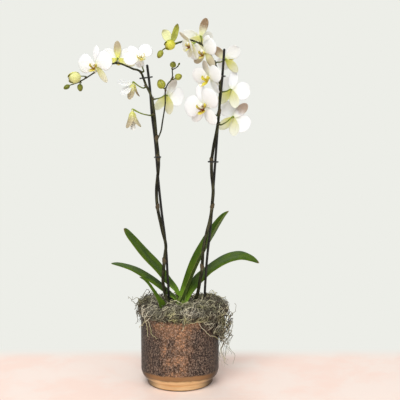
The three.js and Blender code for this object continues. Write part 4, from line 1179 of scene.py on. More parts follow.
column_skin, tree, shader = new_material(
    "column_wax", Roughness=0.4, Subsurface_Weight=0.3, Subsurface_Scale=0.002,
    Subsurface_Radius=(1, 0.9, 0.8),
)
speck = use_effect(patches, Place=object_place(tree), Patch_Scale=500.0, Speckle_Scale=900.0)
wax = mix_colour(mark_value(tree, "along"), srgb(222, 226, 150), srgb(250, 246, 236))
wax = mix_colour(mark_value(tree, "stain"), wax, srgb(150, 92, 60))
wax = mix_colour(times(speck["Patches"], 0.12), wax, srgb(196, 150, 96))
feed(shader, Base_Color=wax, Roughness=spread(speck["Speckle"], 0, 1, 0.34, 0.5))


def placer(centre, axes, size=1.0, shift=0.0):
    """A function that puts a flower's or bud's own points in their place on the plant."""
    return lambda points: centre + (points * size + shift) @ axes


def stalk_line(flower, stem, start, behind, ripe):
    """The line of a flower's stalk, from inside the spike's skin to the back of the flower."""
    spot, radius, run, _ = nearest_on(stem, flower["joint"])
    away = square_to(behind - spot, run)
    near = spot + away * (radius + 4.5)
    sag = np.array([0, 0, -STALK_SAG]) * np.linalg.norm(behind - near)
    first = [spot + away * (radius * 0.6), spot + away * (radius + 1.5), near]
    return path_line([*first, (near + behind) / 2 + sag, behind, start], STALK_RADII, 46, ripe=ripe)


# The column leans forward from the flower's back. It is hollow in front, under the cap at its tip.
column_points, column_faces = lathe(COLUMN_OUTLINE, 24)
column_share = np.clip((column_points[:, 2] + 3) / 10, 0, 1)
hollow = np.clip(-column_points[:, 1], 0, 1) * np.exp(-(((column_points[:, 2] - 5.4) / 1.3) ** 2))
column_points = column_points * (1.08, 0.9, 1)
column_points[:, 1] += 0.9 * hollow + 0.035 * np.clip(column_points[:, 2], 0, 9) ** 2
cos, sin = math.cos(COLUMN_LEAN), math.sin(COLUMN_LEAN)
column_points = column_points @ np.array([(1, 0, 0), (0, cos, -sin), (0, sin, cos)])
cap_points, cap_faces = lathe(arc((0, 0), (1.75, 1.5), -88, 88, 11), 20)
cap_points = cap_points * (1, 1.1, 1) + (0, 2.1, 7.6)

for number, (name, flower) in enumerate(FLOWERS.items()):
    draw = np.random.default_rng(40 + number)
    size = flower.get("size", 1.0)
    fold = flower.get("fold", (8, 8, 8, 8, 8))
    wrap = flower.get("wrap", (0, 0, 0, 0, 0))
    sepal = {**SEPAL, "width": SEPAL["width"] * flower.get("slim", 1.0)}
    petal = {**PETAL, "width": PETAL["width"] * flower.get("petal_slim", 1.0)}
    bronze = (*flower["bronze"], 0.0, 0.0)
    ripe = (*flower["ripe"], flower["green"] * 0.3, flower["green"] * 0.3)
    axes = flower_axes(flower)
    centre = np.asarray(flower["at"], float)
    to_plant = placer(centre, axes)
    stem = STEMS["spike_left" if "left" in name else "spike_right"]
    flower_surface = Surface()
    kinds = [(sepal, SEPAL_SET)] * 3 + [(petal, PETAL_SET), (petal, PETAL_SET + 0.5)]
    for i, (shape, set_at) in enumerate(kinds):
        angle = flower["angles"][i]
        middle = tepal_sheet(shape, size, angle, fold[i], set_at, draw, wrap[i], 4.5 - i)
        share = np.sin(thin_sheet(middle, 0)[2] * math.pi / 2) ** TEPAL_CROWDING
        marks = {"along": share, "bronze": bronze[i], "ripe": ripe[i]}
        add_sheet(flower_surface, middle, shape["thick"], to_plant, **marks)
    column = to_plant(column_points * size) * MM
    flower_surface.add(column, column_faces, finish=1, along=column_share, stain=0.8 * hollow)
    flower_surface.add(to_plant(cap_points * size) * MM, cap_faces, finish=1, along=1.0)
    behind = centre - axes[2] * flower.get("neck", 8) * size
    stalk = stalk_line(flower, stem, centre - axes[2] * 1.5 * size, behind, [0.1, 0.35, 0.75, 1, 1])
    stalk_mesh = sweep([stalk], stem_skin, sides=14, unevenness=0.00025, lump_scale=700.0)
    add_mesh(flower_surface, stalk_mesh, finish=2)
    from_stem = behind - nearest_on(stem, flower["joint"])[0]
    scale = {"length": 5, "loose": 1.6, "dry": 0.7, "finish": 2}
    add_scale(flower_surface, stem, flower["joint"], from_stem, **scale)
    flower_surface.piece("orchid_" + name, [petal_skin, column_skin, stem_skin], "petal", [name])

# ---------------------------------------------------------------- lips
# Each flower's lip hangs under its column: two side lobes that stand up, a middle lobe that reaches
# forward and ends in two curled tendrils, and a waxy knob in two halves between them. It is yellow with
# red-brown spots and bars.

LIP_BASE = (-3.8, 3.4)  # down and forward from the flower's centre
LIP_REACH = 13
LIP_DROP = 5.3
LIP_THICKNESS = 1.0
LOBE_THICKNESS = 0.75
# How yellow, how spotted and how dark at the heart each lip is. That dark heart is partly the lip's own
# red-brown and partly painted shade in its throat.
LIPS = {
    "lip_left_1": (0.9, 0.8, 0.7), "lip_left_2": (0.7, 0.4, 0.2), "lip_left_3": (0.6, 0.1, 0.0),
    "lip_left_4": (0.8, 0.8, 0.7), "lip_left_5": (0.7, 0.4, 0.2), "lip_left_6": (0.7, 0.5, 0.3),
    "lip_right_1": (0.5, 1.0, 1.0), "lip_right_2": (0.7, 0.5, 0.3), "lip_right_3": (0.7, 0.9, 0.8),
    "lip_right_4": (0.9, 0.3, 0.1), "lip_right_5": (0.95, 0.7, 1.0), "lip_right_6": (0.7, 0.5, 0.3),
    "lip_right_7": (0.7, 0.5, 0.3), "lip_right_8": (0.7, 0.5, 0.3),
}

lip_skin, tree, shader = new_material(
    "lip_wax", Roughness=0.4, Specular_IOR_Level=0.3, Subsurface_Weight=0.12, Subsurface_Scale=0.001,
)
along = mark_value(tree, "along")
place = object_place(tree)
spots = wire(tree, "ShaderNodeTexVoronoi", {"Vector": place, "Scale": 620.0}).outputs["Distance"]
bars = use_effect(veins, Across=mark_value(tree, "across"), Along=along, Count=9.0, Waver=0.2)
blot = use_effect(patches, Place=place, Patch_Scale=260.0, Speckle_Scale=1500.0, Cover=0.5)
yellow = mix_colour(blot["Patches"], srgb(202, 184, 0), srgb(222, 210, 40))
pale = mix_colour(blot["Patches"], srgb(244, 240, 206), srgb(232, 226, 160))
yellow_share = times(mark_value(tree, "yellow"), spread(along, 0.55, 1.0, 1, 0.72))
lip_colour = mix_colour(yellow_share, pale, yellow)
inner = spread(along, 0.1, 0.75, 1, 0)
spot_share = times(spread(spots, 0.25, 0.42, 1, 0), mark_value(tree, "spots"))
bar_share = times(spread(bars["Veins"], 0.55, 0.8), mark_value(tree, "spots"))
marks_share = times(math_node("MAXIMUM", spot_share, bar_share), inner)
lip_colour = mix_colour(times(marks_share, 0.85), lip_colour, srgb(124, 50, 6))
# The heart between the side lobes is darkened: partly its own red-brown marking and partly painted shade in
# the throat.
dark_heart_and_painted_shade = times(mark_value(tree, "dark"), spread(along, 0.26, 0.64, 1, 0))
lip_colour = mix_colour(dark_heart_and_painted_shade, lip_colour, srgb(122, 54, 0))
feed(
    shader, Base_Color=lip_colour, Roughness=spread(blot["Speckle"], 0, 1, 0.3, 0.48),
    Normal=bump(bars["Veins"], 0.3, 0.0003),
)


def lip_middle(draw):
    """The middle lobe's sheet: a waist, broad shoulders and a narrow tip, arched and a little folded."""
    u, x = sheet_grid(26, 19)
    wide = eased([1.9, 2.2, 2.9, 4.6, 5.6, 4.6, 2.9, 1.5, 0.5], u)
    down = LIP_BASE[0] - LIP_DROP * np.sin(1.7 * u) + 0.3 * np.abs(x) * wide + 0.25 * np.sin(7 * u) * x**2
    down = down + draw.uniform(-0.2, 0.2) * x
    return np.stack([-x * wide, down, LIP_BASE[1] + LIP_REACH * u + 0 * x], axis=2)


def lip_side(hand):
    """A side lobe's sheet: it rises beside the column and curls in over it."""
    u, x = sheet_grid(20, 15)
    wide = eased([1.4, 2.6, 3.5, 3.6, 3.0, 1.9, 0.5], u)
    out = 1.3 + 6.4 * np.sin(1.5 * u) - 2.4 * u**3 - 0.35 * x**2
    return np.stack([hand * out, -4.4 + 8.0 * u + 0 * x, 6.2 + 1.8 * u - hand * x * wide], axis=2)


knob_points, knob_faces = lathe(
    [(1.25 * math.sin(a), -1.5 * math.cos(a)) for a in np.linspace(0.12, 3.02, 14)], 18
)
lip_tip = np.array([0, LIP_BASE[0] - LIP_DROP * math.sin(1.7), LIP_BASE[1] + LIP_REACH - 0.4])
TENDRIL = [(0, 0, 0), (1.0, 0.3, 1.0), (2.4, 1.4, 1.6), (3.6, 2.9, 1.2), (4.0, 4.2, 0.2), (3.4, 4.8, -0.8)]

for number, (name, (yellow_amount, spot_amount, dark_amount)) in enumerate(LIPS.items()):
    draw = np.random.default_rng(80 + number)
    flower = FLOWERS[name.replace("lip", "flower")]
    size = flower.get("size", 1.0)
    lip_size = flower.get("lip_size", size)
    attach = np.array([0, LIP_BASE[0], LIP_BASE[1]]) * (size - lip_size)
    to_plant = placer(np.asarray(flower["at"], float), flower_axes(flower), lip_size, attach)
    tints = {"yellow": yellow_amount, "spots": spot_amount, "dark": dark_amount}
    lip_surface = Surface()
    add_sheet(lip_surface, lip_middle(draw), LIP_THICKNESS, to_plant, **tints)
    for hand in (-1, 1):
        lobe = lip_side(hand)
        share = 0.25 + 0.5 * thin_sheet(lobe, 0)[2]
        add_sheet(lip_surface, lobe, LOBE_THICKNESS, to_plant, **tints, along=share)
        knob = knob_points * (0.85, 1, 1) + (hand * 1.0, -4.1, 6.6)
        lip_surface.add(to_plant(knob) * MM, knob_faces, along=0.2, across=0.4, **{**tints, "yellow": 1.0})
        route = [lip_tip + np.array(spot) * (hand, 1, 1) for spot in TENDRIL]
        line_points, line_marks = path_line(route, [0.34, 0.28, 0.2, 0.14], 30)
        tendril = sweep([(to_plant(line_points / MM) * MM, line_marks)], lip_skin, sides=8)
        add_mesh(lip_surface, tendril, along=0.9, across=0.1, yellow=yellow_amount, spots=0.0, dark=0.0)
    lip_surface.piece("orchid_" + name, [lip_skin], "lip", [name])

# ---------------------------------------------------------------- buds
# Closed buds are green eggs with three seams where the sepals meet, each on a short stalk. At the tip of
# each spike one bud has begun to open: its sepals part round the paler petals inside.

BUDS = {
    "bud_left_open": {
        "at": (-167, -54, 522), "joint": (-149, -40, 522), "axis": (-0.8, -0.3, -0.2), "radius": 8.5,
        "length": 21, "bright": 1.5,
    },
    "bud_left_2": {
        "at": (-159.5, -44, 506), "joint": (-159.5, -42, 516), "axis": (0.1, 0, -1), "radius": 4.6,
        "length": 12, "bright": 0.1,
    },
    "bud_left_3": {
        "at": (-181, -46, 507), "joint": (-170, -44, 512), "axis": (-0.8, -0.1, -0.5), "radius": 3.8,
        "length": 11, "tip": True, "bright": 0.0,
    },
    "bud_branch_1": {
        "at": (-30, -5, 513), "joint": (-23, -4, 505), "axis": (-0.35, 0, 0.9), "radius": 7.2,
        "length": 16, "bright": 0.45,
    },
    "bud_branch_2": {
        "at": (-1, -4, 525), "joint": (-12, -4, 521), "axis": (0.8, 0, 0.3), "radius": 5.6,
        "length": 12, "bright": 0.5,
    },
    "bud_branch_3": {
        "at": (-10, -5, 545), "joint": (-11, -4, 537), "axis": (0.2, -0.3, 1), "radius": 5.2,
        "length": 10.5, "bright": 0.2,
    },
    "bud_branch_4": {
        "at": (0, -4, 546), "joint": (-2, -4, 542), "axis": (0.5, 0, 0.8), "radius": 1.6,
        "length": 4.5, "tip": True, "bright": 0.0,
    },
    "bud_right_open": {
        "at": (-14, -43, 574.5), "joint": (3, -26.5, 580), "axis": (-0.75, -0.3, -0.25), "radius": 7.6,
        "length": 18, "bright": 1.0,
        "free_sepals": [
            {"from": (-9, -42, 580), "to": (-1, -40, 608), "width": 10, "bright": 0.3},
            {"from": (-14, -40, 581), "to": (-24, -38, 599), "width": 15, "bright": 1.7},
        ],
    },
    "bud_right_2": {
        "at": (-30, -36, 560), "joint": (-23, -34, 569), "axis": (-0.45, -0.1, -0.9), "radius": 4.8,
        "length": 14, "tip": True, "bright": 0.3,
    },
}

bud_skin, tree, shader = new_material("bud_skin", Roughness=0.45, Specular_IOR_Level=0.3)
along = mark_value(tree, "along")
lines = use_effect(veins, Across=mark_value(tree, "across"), Along=along, Count=12.0, Waver=0.08)
cloud = use_effect(patches, Place=object_place(tree), Patch_Scale=160.0, Speckle_Scale=1400.0)
deep = mix_colour(cloud["Patches"], srgb(84, 92, 22), srgb(124, 132, 38))
light = mix_colour(cloud["Patches"], srgb(206, 202, 58), srgb(226, 222, 100))
green = mix_colour(mark_value(tree, "bright"), deep, light)
green = mix_colour(spread(mark_value(tree, "bright"), 1.0, 2.0), green, srgb(232, 234, 190))
green = mix_colour(times(lines["Veins"], 0.22), green, srgb(92, 94, 26))
end_tint = times(spread(along, 0.72, 1.0), 0.55)
green = mix_colour(end_tint, green, srgb(92, 66, 36))
green = mix_colour(mark_value(tree, "seam"), green, srgb(64, 62, 20))
feed(
    shader, Base_Color=green, Roughness=spread(cloud["Speckle"], 0, 1, 0.34, 0.5),
    Normal=bump(lines["Veins"], 0.3, 0.0003),
)


def bud_axes(axis):
    """Rows that turn a bud's own X, Y and Z into the plant's, with Z along its axis."""
    along = unit(axis)
    side = unit(np.cross(along, (0.3, 1, 0.2)))
    return np.array([side, np.cross(along, side), along])


def bud_body(radius, length, seam_depth):
    """A closed bud along Z: egg-shaped, fuller at its base, with three seams."""
    t = -np.cos(np.linspace(0.06, math.pi - 0.06, 40))[:, None]
    turn = np.linspace(0, 2 * math.pi, 60, endpoint=False)[None, :]
    seam = np.zeros_like(turn)
    for third in (0, 2 * math.pi / 3, 4 * math.pi / 3):
        near = np.abs((turn - third + math.pi) % (2 * math.pi) - math.pi)
        seam = seam + np.exp(-((near / 0.1) ** 2))
    fade = np.clip((t + 0.95) / 0.8, 0, 1)
    wide = radius * (1 - 0.16 * t) * np.sqrt(1 - t**2 * 0.985) * (1 - seam_depth * seam * fade)
    rings = np.stack([wide * np.cos(turn), wide * np.sin(turn) * 0.93, t * length / 2 + 0 * turn], axis=2)
    points, faces = ringed_skin(rings, (0, 0, -length / 2), (0, 0, length / 2))
    share = np.append((((t + 1) / 2) + 0 * turn).ravel(), [0, 1])
    round_share = np.append(((np.cos(turn * 1.5)) + 0 * t).ravel(), [0, 0])
    seam_mark = np.append((seam * fade).ravel(), [0, 0])
    return points, faces, {"along": share, "across": round_share, "seam": np.clip(seam_mark * 0.7, 0, 1)}


def bud_sepal(radius, length, middle, half_width, opening, draw):
    """A cupped sepal of a half-open bud: part of the egg's skin, leaning out towards its tip."""
    u, x = sheet_grid(26, 23)
    t = 2 * u - 1
    skin = radius * (1 - 0.1 * t) * np.sqrt(np.maximum(1 - (t * 0.97) ** 2, 0.02))
    skin = skin * (1 + 0.04 * x**2) + opening * radius * u**2
    narrow = np.clip(1 - (np.abs(t) ** 3) * 0.75, 0.1, 1)
    turn = np.radians(middle + half_width * x * narrow)
    ripple = draw.uniform(0.2, 0.5) * np.sin(5 * u + draw.uniform(0, 6)) * x**2 * u
    reach = skin + ripple
    return np.stack([reach * np.cos(turn), reach * np.sin(turn), t * length / 2 + 0 * x], axis=2)


def free_sepal(sepal):
    """A sepal that has already folded back from a half-open bud."""
    start, end = (np.asarray(sepal[key], float) for key in ("from", "to"))
    along = end - start
    across = unit(np.cross(along, (0, -1, 0)))
    front = unit(np.cross(across, along))
    u, x = sheet_grid(28, 19)
    wide = sepal["width"] / 2 * eased([0.5, 0.86, 1, 1, 0.92, 0.72, 0.2], u)
    depth = -2 * np.sin(math.pi * u) + 0.3 * np.abs(x) * wide - 1.5 * u**2 * x
    return laid_out(start, (along, u), (across, x * wide), (front, depth))


# Each sepal of a half-open bud: the way it faces in degrees, how far it has opened, and how much painted
# shade darkens it.
OPENING = [(90, 0.16, 0.0), (212, 0.1, 0.4), (-28, 0.2, 0.0)]
BUD_SEPAL_THICKNESS = 0.7
BUD_SEPAL_HALF_WIDTH = 62  # in degrees round the bud
FREE_SEPAL_THICKNESS = 0.8

for number, (name, bud) in enumerate(BUDS.items()):
    draw = np.random.default_rng(120 + number)
    stem = STEMS["side_branch" if "branch" in name else "spike_left" if "left" in name else "spike_right"]
    centre = np.asarray(bud["at"], float)
    axes = bud_axes(bud["axis"])
    to_plant = placer(centre, axes)
    radius, length = bud["radius"], bud["length"]
    half_open = "open" in name
    bud_surface = Surface()
    inner_size = (radius * 0.86, length * 0.92) if half_open else (radius, length)
    points, faces, marks = bud_body(*inner_size, seam_depth=0.06)
    bud_surface.add(to_plant(points) * MM, faces, **marks, bright=min(1.0, bud["bright"]))
    for facing, opening, painted_sepal_shade in OPENING if half_open else []:
        sheet = bud_sepal(radius, length, facing, BUD_SEPAL_HALF_WIDTH, opening, draw)
        add_sheet(bud_surface, sheet, BUD_SEPAL_THICKNESS, to_plant, bright=bud["bright"] - painted_sepal_shade)
    for sepal in bud.get("free_sepals", []):
        add_sheet(bud_surface, free_sepal(sepal), FREE_SEPAL_THICKNESS, bright=sepal["bright"])
    base = centre - axes[2] * (length / 2 - 0.8)
    spot, stem_radius, run, _ = nearest_on(stem, bud["joint"])
    if bud.get("tip"):
        first = [spot - run * 0.5, (spot + base) / 2]
    else:
        first = [spot, spot + square_to(base - spot, run) * (stem_radius + 1.5)]
    route = [*first, base, centre - axes[2] * length / 4]
    stalk = path_line(route, [1.15, 0.95, 0.95, 1.2], 22, ripe=[0.05, 0.25, 0.8, 0.9])
    add_mesh(bud_surface, sweep([stalk], stem_skin, sides=12, unevenness=0.0002), finish=1)
    if not bud.get("tip"):
        scale = {"length": 3.6, "loose": 1.2, "dry": 0.7, "finish": 1}
        add_scale(bud_surface, stem, bud["joint"], base - spot, **scale)
    bud_surface.piece("orchid_" + name, [bud_skin, stem_skin], "bud", [name])

# ---------------------------------------------------------------- moss
# A heap of dried hanging moss covers the bark and spills over the rim: thousands of thin, curly strands
# laid in one tangle, loose enough to show dark gaps. A bunch hangs down the pot's wall on the right.

MOSS = {"radius": 68, "right_bulge": 10, "top": 137, "lump": 2.6, "rim": 122.3}
# Bumps on the heap: where each is, how high and how wide.
HUMPS = [
    ((56, -6), 15, 21), ((-50, 2), 8, 15), ((8, 42), -4, 24), ((-12, -34), 3, 20), ((24, -46), 4, 16),
    ((5, -20), -9, 13),
]

# Curled strands scattered over a base mesh. Each is a straight line of Length at first. Curl bends it, Hug
# draws it to the base, Fuzz is how far off the base it may lie, and Fall is how much it hangs.
strand_tree, given = geometry_tree(
    "curled_moss_strands",
    {
        "Density": ("Float", 50000.0), "Length": ("Float", 0.05), "Curl": ("Float", 0.01),
        "Curl Scale": ("Float", 45.0), "Loop": ("Float", 0.003), "Turns": ("Float", 2.4),
        "Hug": ("Float", 0.85), "Fuzz": ("Float", 0.006), "Fall": ("Float", 0.0),
        "Thickness": ("Float", 0.0005), "Seed": ("Int", 3), "Material": ("Material", None),
    },
)
STRAND_STEPS = 17
FULL_TURN = 6.283


def random_float(tree, low, high, seed):
    inputs = {2: low, 3: high, "Seed": seed}
    return wire(tree, "FunctionNodeRandomValue", inputs, data_type="FLOAT").outputs[1]


def kept(geometry, name, value):
    """Has each strand carry a value under a name."""
    inputs = {"Geometry": geometry, "Name": name, "Value": value}
    return step("GeometryNodeStoreNamedAttribute", inputs, data_type="FLOAT", domain="INSTANCE")


base = given["Geometry"]
scatter = wire(
    strand_tree, "GeometryNodeDistributePointsOnFaces",
    {"Mesh": base, "Density": given["Density"], "Seed": given["Seed"]},
).outputs
straight = wire(strand_tree, "GeometryNodeCurvePrimitiveLine", {"Start": (-0.5, 0, 0), "End": (0.5, 0, 0)})
stepped = step("GeometryNodeResampleCurve", {"Curve": straight.outputs[0], "Count": STRAND_STEPS})
any_way = random_float(strand_tree, 0.0, FULL_TURN, 5)
spin = step("FunctionNodeAxisAngleToRotation", {"Axis": (0, 0, 1), "Angle": any_way})
laid = step("FunctionNodeRotateRotation", {0: scatter["Rotation"], 1: spin}, rotation_space="LOCAL")
long_by = times(given["Length"], random_float(strand_tree, 0.5, 1.4, 7))
scattered = {"Points": scatter["Points"], "Instance": stepped, "Rotation": laid, "Scale": long_by}
placed = step("GeometryNodeInstanceOnPoints", scattered)
placed = kept(placed, "tone", random_float(strand_tree, 0.0, 1.0, 11))
placed = kept(placed, "layer", random_float(strand_tree, 0.0, 1.0, 13))
strands = step("GeometryNodeRealizeInstances", {"Geometry": placed})
layer = carried(strand_tree, "layer")
tone = carried(strand_tree, "tone")
share = wire(strand_tree, "GeometryNodeSplineParameter").outputs["Factor"]
here = wire(strand_tree, "GeometryNodeInputPosition").outputs[0]

# Curl: two noises, a broad one for bends and a fine one for kinks, shifted from strand to strand.
noise_place = vector_math("ADD", here, step("ShaderNodeCombineXYZ", {0: times(tone, 0.9)}))
waves = []
for scale, detail in ((given["Curl Scale"], 1.0), (times(given["Curl Scale"], 3.1), 0.0)):
    inputs = {"Vector": noise_place, "Scale": scale, "Detail": detail}
    wave = wire(strand_tree, "ShaderNodeTexNoise", inputs).outputs["Color"]
    waves.append(vector_math("SUBTRACT", wave, (0.5, 0.5, 0.5)))
curl = scaled(vector_math("ADD", waves[0], scaled(waves[1], 0.35)), given["Curl"])

# Loops: each strand also winds round like a loose spring, starting anywhere. Its end hangs by Fall.
winding = plus(times(times(share, given["Turns"]), FULL_TURN), times(tone, 60.0))
round_and_round = {
    0: math_node("COSINE", winding), 1: math_node("SINE", winding),
    2: math_node("SINE", plus(winding, 1.0)),
}
curl = vector_math("ADD", curl, scaled(step("ShaderNodeCombineXYZ", round_and_round), given["Loop"]))
hang = step("ShaderNodeCombineXYZ", {2: times(math_node("POWER", share, 1.4), given["Fall"])})
hang = scaled(hang, plus(times(tone, -0.8), -0.2))
curled = step("GeometryNodeSetPosition", {"Geometry": strands, "Offset": vector_math("ADD", curl, hang)})

# Hug: the strand is drawn to the base's skin and lifted off it by its layer, with its loose end highest.
nearest_skin = wire(strand_tree, "GeometryNodeProximity", {0: base}, target_element="FACES")
normal = {"Mesh": base, "Value": wire(strand_tree, "GeometryNodeInputNormal").outputs[0]}
skin_normal = step("GeometryNodeSampleNearestSurface", normal, data_type="FLOAT_VECTOR")
loose_end = times(math_node("POWER", share, 4.0), math_node("POWER", tone, 3.0))
above_skin = plus(math_node("POWER", layer, 1.6), loose_end)
ripple = step("ShaderNodeTexNoise", {"Vector": noise_place, "Scale": 130.0, "Detail": 0.0})
above_skin = times(above_skin, times(ripple, 2.0))
lifted = scaled(skin_normal, times(above_skin, given["Fuzz"]))
on_skin = vector_math("ADD", nearest_skin.outputs["Position"], lifted)
hugged = {0: given["Hug"], 4: here, 5: on_skin}
drawn_in = wire(strand_tree, "ShaderNodeMix", hugged, data_type="VECTOR").outputs[1]
laid_down = step("GeometryNodeSetPosition", {"Geometry": curled, "Position": drawn_in})

# Body: three-sided, and thinner towards its end.
tapered = times(given["Thickness"], less(1.15, times(share, 0.7)))
triangle = wire(
    strand_tree, "GeometryNodeCurvePrimitiveCircle", {"Resolution": 3, "Radius": 1.0},
).outputs[0]
body = {"Curve": laid_down, "Profile Curve": triangle, "Scale": tapered, "Fill Caps": True}
end_tree(step("GeometryNodeCurveToMesh", body), given["Material"])

dry_moss, tree, shader = new_material("dry_moss", Roughness=0.95)
tone_mark = mark_value(tree, "tone")
place = object_place(tree)
tuft = use_effect(patches, Place=place, Patch_Scale=34.0, Speckle_Scale=700.0, Softness=0.2)
skewed = math_node("POWER", tone_mark, 1.8)
# Painted shade: strands low in the tangle are painted darker than those on top, for the shade of the
# strands over them. Each strand's own tone also varies at random.
tone_and_painted_depth_shade = times(skewed, spread(mark_value(tree, "layer"), 0.1, 0.9, 0.2, 1.08))
grey = mix_colour(tone_and_painted_depth_shade, srgb(38, 32, 20), srgb(240, 230, 206))
green_tuft = mix_colour(tone_and_painted_depth_shade, srgb(42, 38, 18), srgb(190, 184, 126))
strand_colour = mix_colour(tuft["Patches"], grey, green_tuft)
brown_share = times(spread(tone_mark, 0.12, 0.2, 1, 0), 0.8)
strand_colour = mix_colour(brown_share, strand_colour, srgb(70, 52, 34))
strand_colour = mix_colour(times(tuft["Speckle"], 0.15), strand_colour, srgb(214, 208, 186))
feed(shader, Base_Color=strand_colour)

# The heap under the strands is painted nearly black: painted shade deep inside the tangle, which shows
# through its gaps.
moss_core, tree, shader = new_material("moss_core", Roughness=1.0)
depth = use_effect(patches, Place=object_place(tree), Patch_Scale=160.0, Speckle_Scale=900.0)
feed(
    shader, Base_Color=mix_colour(depth["Patches"], srgb(20, 17, 11), srgb(46, 41, 28)),
    Normal=bump(depth["Speckle"], 1.0, 0.001),
)


def moss_heap():
    """The heap that the strands lie on: a lumpy cushion that overhangs the rim, most on the right."""
    rim, radius, top = MOSS["rim"], MOSS["radius"], MOSS["top"]
    outline = [
        *line((4, 110), (54, 110), 10),
        *line((54, 110), (60.5, 117), 4),
        *line((60.5, 117), (60.5, rim + 0.4), 3),
        *line((60.5, rim + 0.4), (radius - 2, rim + 0.4), 4),
        *arc((radius - 10, rim + 7), (10, 6.5), -60, 80, 16),
        *line((radius - 9, rim + 12), (radius - 26, top), 12),
        *line((radius - 26, top), (4, top), 22),
    ]
    points, faces = lathe(outline, 160)
    points = points.copy()
    away = np.hypot(points[:, 0], points[:, 1])
    outside = np.clip((away - 60) / 8, 0, 1)
    above = np.clip((points[:, 2] - rim - 1) / 11, 0, 1)
    right = np.clip(points[:, 0] / np.maximum(away, 1), 0, 1) ** 2
    left = np.clip(-points[:, 0] / np.maximum(away, 1), 0, 1) ** 2
    stretch = 1 + outside * (right * MOSS["right_bulge"] - left * 3) / radius
    points[:, :2] *= stretch[:, None]
    lumps = np.array([noise.fractal(Vector(spot) * 0.055, 0.6, 2.0, 3) for spot in points])
    edge_lumps = np.array([noise.noise(Vector(spot) * 0.11 + Vector((7, 3, 1))) for spot in points])
    points[:, 2] += above * MOSS["lump"] * 1.6 * lumps
    for centre, height, width in HUMPS:
        from_hump = np.hypot(points[:, 0] - centre[0], points[:, 1] - centre[1])
        points[:, 2] += above * height * np.exp(-((from_hump / width) ** 2))
    droop = outside * np.clip(edge_lumps + 0.3, 0, 1) * (0.3 + 0.7 * right)
    points[:, :2] *= (1 + 0.035 * outside * edge_lumps)[:, None]
    points[:, 2] -= 6.0 * droop * (points[:, 2] < rim + 9) * (away > 66)
    return points, faces


def base_mesh(name, points, faces, keep=None):
    """A plain mesh for strands to grow on, of the faces whose middle passes keep."""
    mesh = bpy.data.meshes.new(name)
    if keep is not None:
        faces = [face for face in faces if keep(points[list(face)].mean(axis=0))]
    mesh.from_pydata((points * MM).tolist(), [], faces)
    mesh.polygons.foreach_set("use_smooth", [True] * len(mesh.polygons))
    return mesh


heap_points, heap_faces = moss_heap()
core_surface = Surface()
core_surface.add(heap_points * MM, heap_faces)
core_surface.piece("moss_heap_core", [moss_core], "moss", ["moss_mound"])


def on_top(spot):
    """Above the pot's rim, or outside the pot."""
    return spot[2] > MOSS["rim"] + 1 or math.hypot(spot[0], spot[1]) > MOSS["radius"] + 1


def on_left_edge(spot):
    return 124 < spot[2] < 140 and spot[0] < -50 and abs(spot[1]) < 45


# The layers of the tangle: which part of the heap, and how its strands lie. The close mat is laid in two
# parts that meet at MAT_SEAM.
MAT_SEAM = 8
MAT = {
    "Density": 40000.0, "Length": 0.036, "Curl": 0.03, "Hug": 0.88, "Fuzz": 0.0045, "Thickness": 0.00085,
}
LAYERS = {
    "moss_mat_left": (lambda spot: on_top(spot) and spot[0] < MAT_SEAM, {**MAT, "Seed": 3}),
    "moss_mat_right": (lambda spot: on_top(spot) and spot[0] >= MAT_SEAM, {**MAT, "Seed": 4}),
    "moss_fluff": (on_top, {
        "Density": 14000.0, "Length": 0.045, "Curl": 0.04, "Loop": 0.0045, "Hug": 0.55, "Fuzz": 0.009,
        "Fall": 0.004, "Thickness": 0.0006, "Seed": 9,
    }),
    "moss_wisps": (on_left_edge, {
        "Density": 40000.0, "Length": 0.03, "Curl": 0.05, "Loop": 0.004, "Hug": 0.25, "Fuzz": 0.012,
        "Fall": 0.012, "Thickness": 0.0005, "Seed": 31,
    }),
}
for name, (keep, values) in LAYERS.items():
    base = base_mesh(name + "_base", heap_points, heap_faces, keep)
    strands_mesh = grown(strand_tree, base, {**values, "Material": dry_moss})
    place_piece(strands_mesh, name, [dry_moss])

# The bunch that hangs on the right: curls held against the pot's wall, and strands that fall from them.
# It is lowest at the pot's side, and its edge climbs to the rim towards the front.
BUNCH = {"top": 122, "low": 74, "from": -16, "to": 58, "stand_off": 2.5, "swell": 5}


def bunch_patch(low, swell, first, last):
    """A swollen patch in front of the pot's wall, on the right, for the bunch to grow on."""
    u = np.linspace(0, 1, 14)[:, None]
    turn = np.linspace(first, last, 20)[None, :]
    climb = np.clip(turn / BUNCH["to"], 0, 1) ** 1.1
    edge = low + (BUNCH["top"] - 4 - low) * climb + 3 * np.sin(turn / 3.1)
    height = BUNCH["top"] + (edge - BUNCH["top"]) * u
    reach = POT["radius"] + BUNCH["stand_off"] + swell * (1 - climb) * np.sin(0.5 + 2.4 * u)
    turn = np.radians(turn)
    points = np.stack([reach * np.cos(turn), -reach * np.sin(turn), height], axis=2).reshape(-1, 3)
    return points, grid_faces(14, 20)


BUNCH_LAYERS = {
    "moss_bunch_curls": ((BUNCH["low"], BUNCH["swell"], BUNCH["from"], BUNCH["to"]), {
        "Density": 36000.0, "Length": 0.03, "Curl": 0.03, "Loop": 0.0035, "Hug": 0.8, "Fuzz": 0.004,
        "Fall": 0.008, "Thickness": 0.0007, "Seed": 21,
    }),
    "moss_bunch_falls": ((90, BUNCH["swell"] + 12, -20, 22), {
        "Density": 17000.0, "Length": 0.02, "Curl": 0.03, "Loop": 0.005, "Turns": 1.8, "Hug": 0.1,
        "Fuzz": 0.004, "Fall": 0.085, "Thickness": 0.0006, "Seed": 22,
    }),
}
for name, (patch, values) in BUNCH_LAYERS.items():
    points, faces = bunch_patch(*patch)
    base = base_mesh(name + "_base", points, faces)
    strands_mesh = grown(strand_tree, base, {**values, "Material": dry_moss})
    place_piece(strands_mesh, name, [dry_moss], ["moss_bunch"])

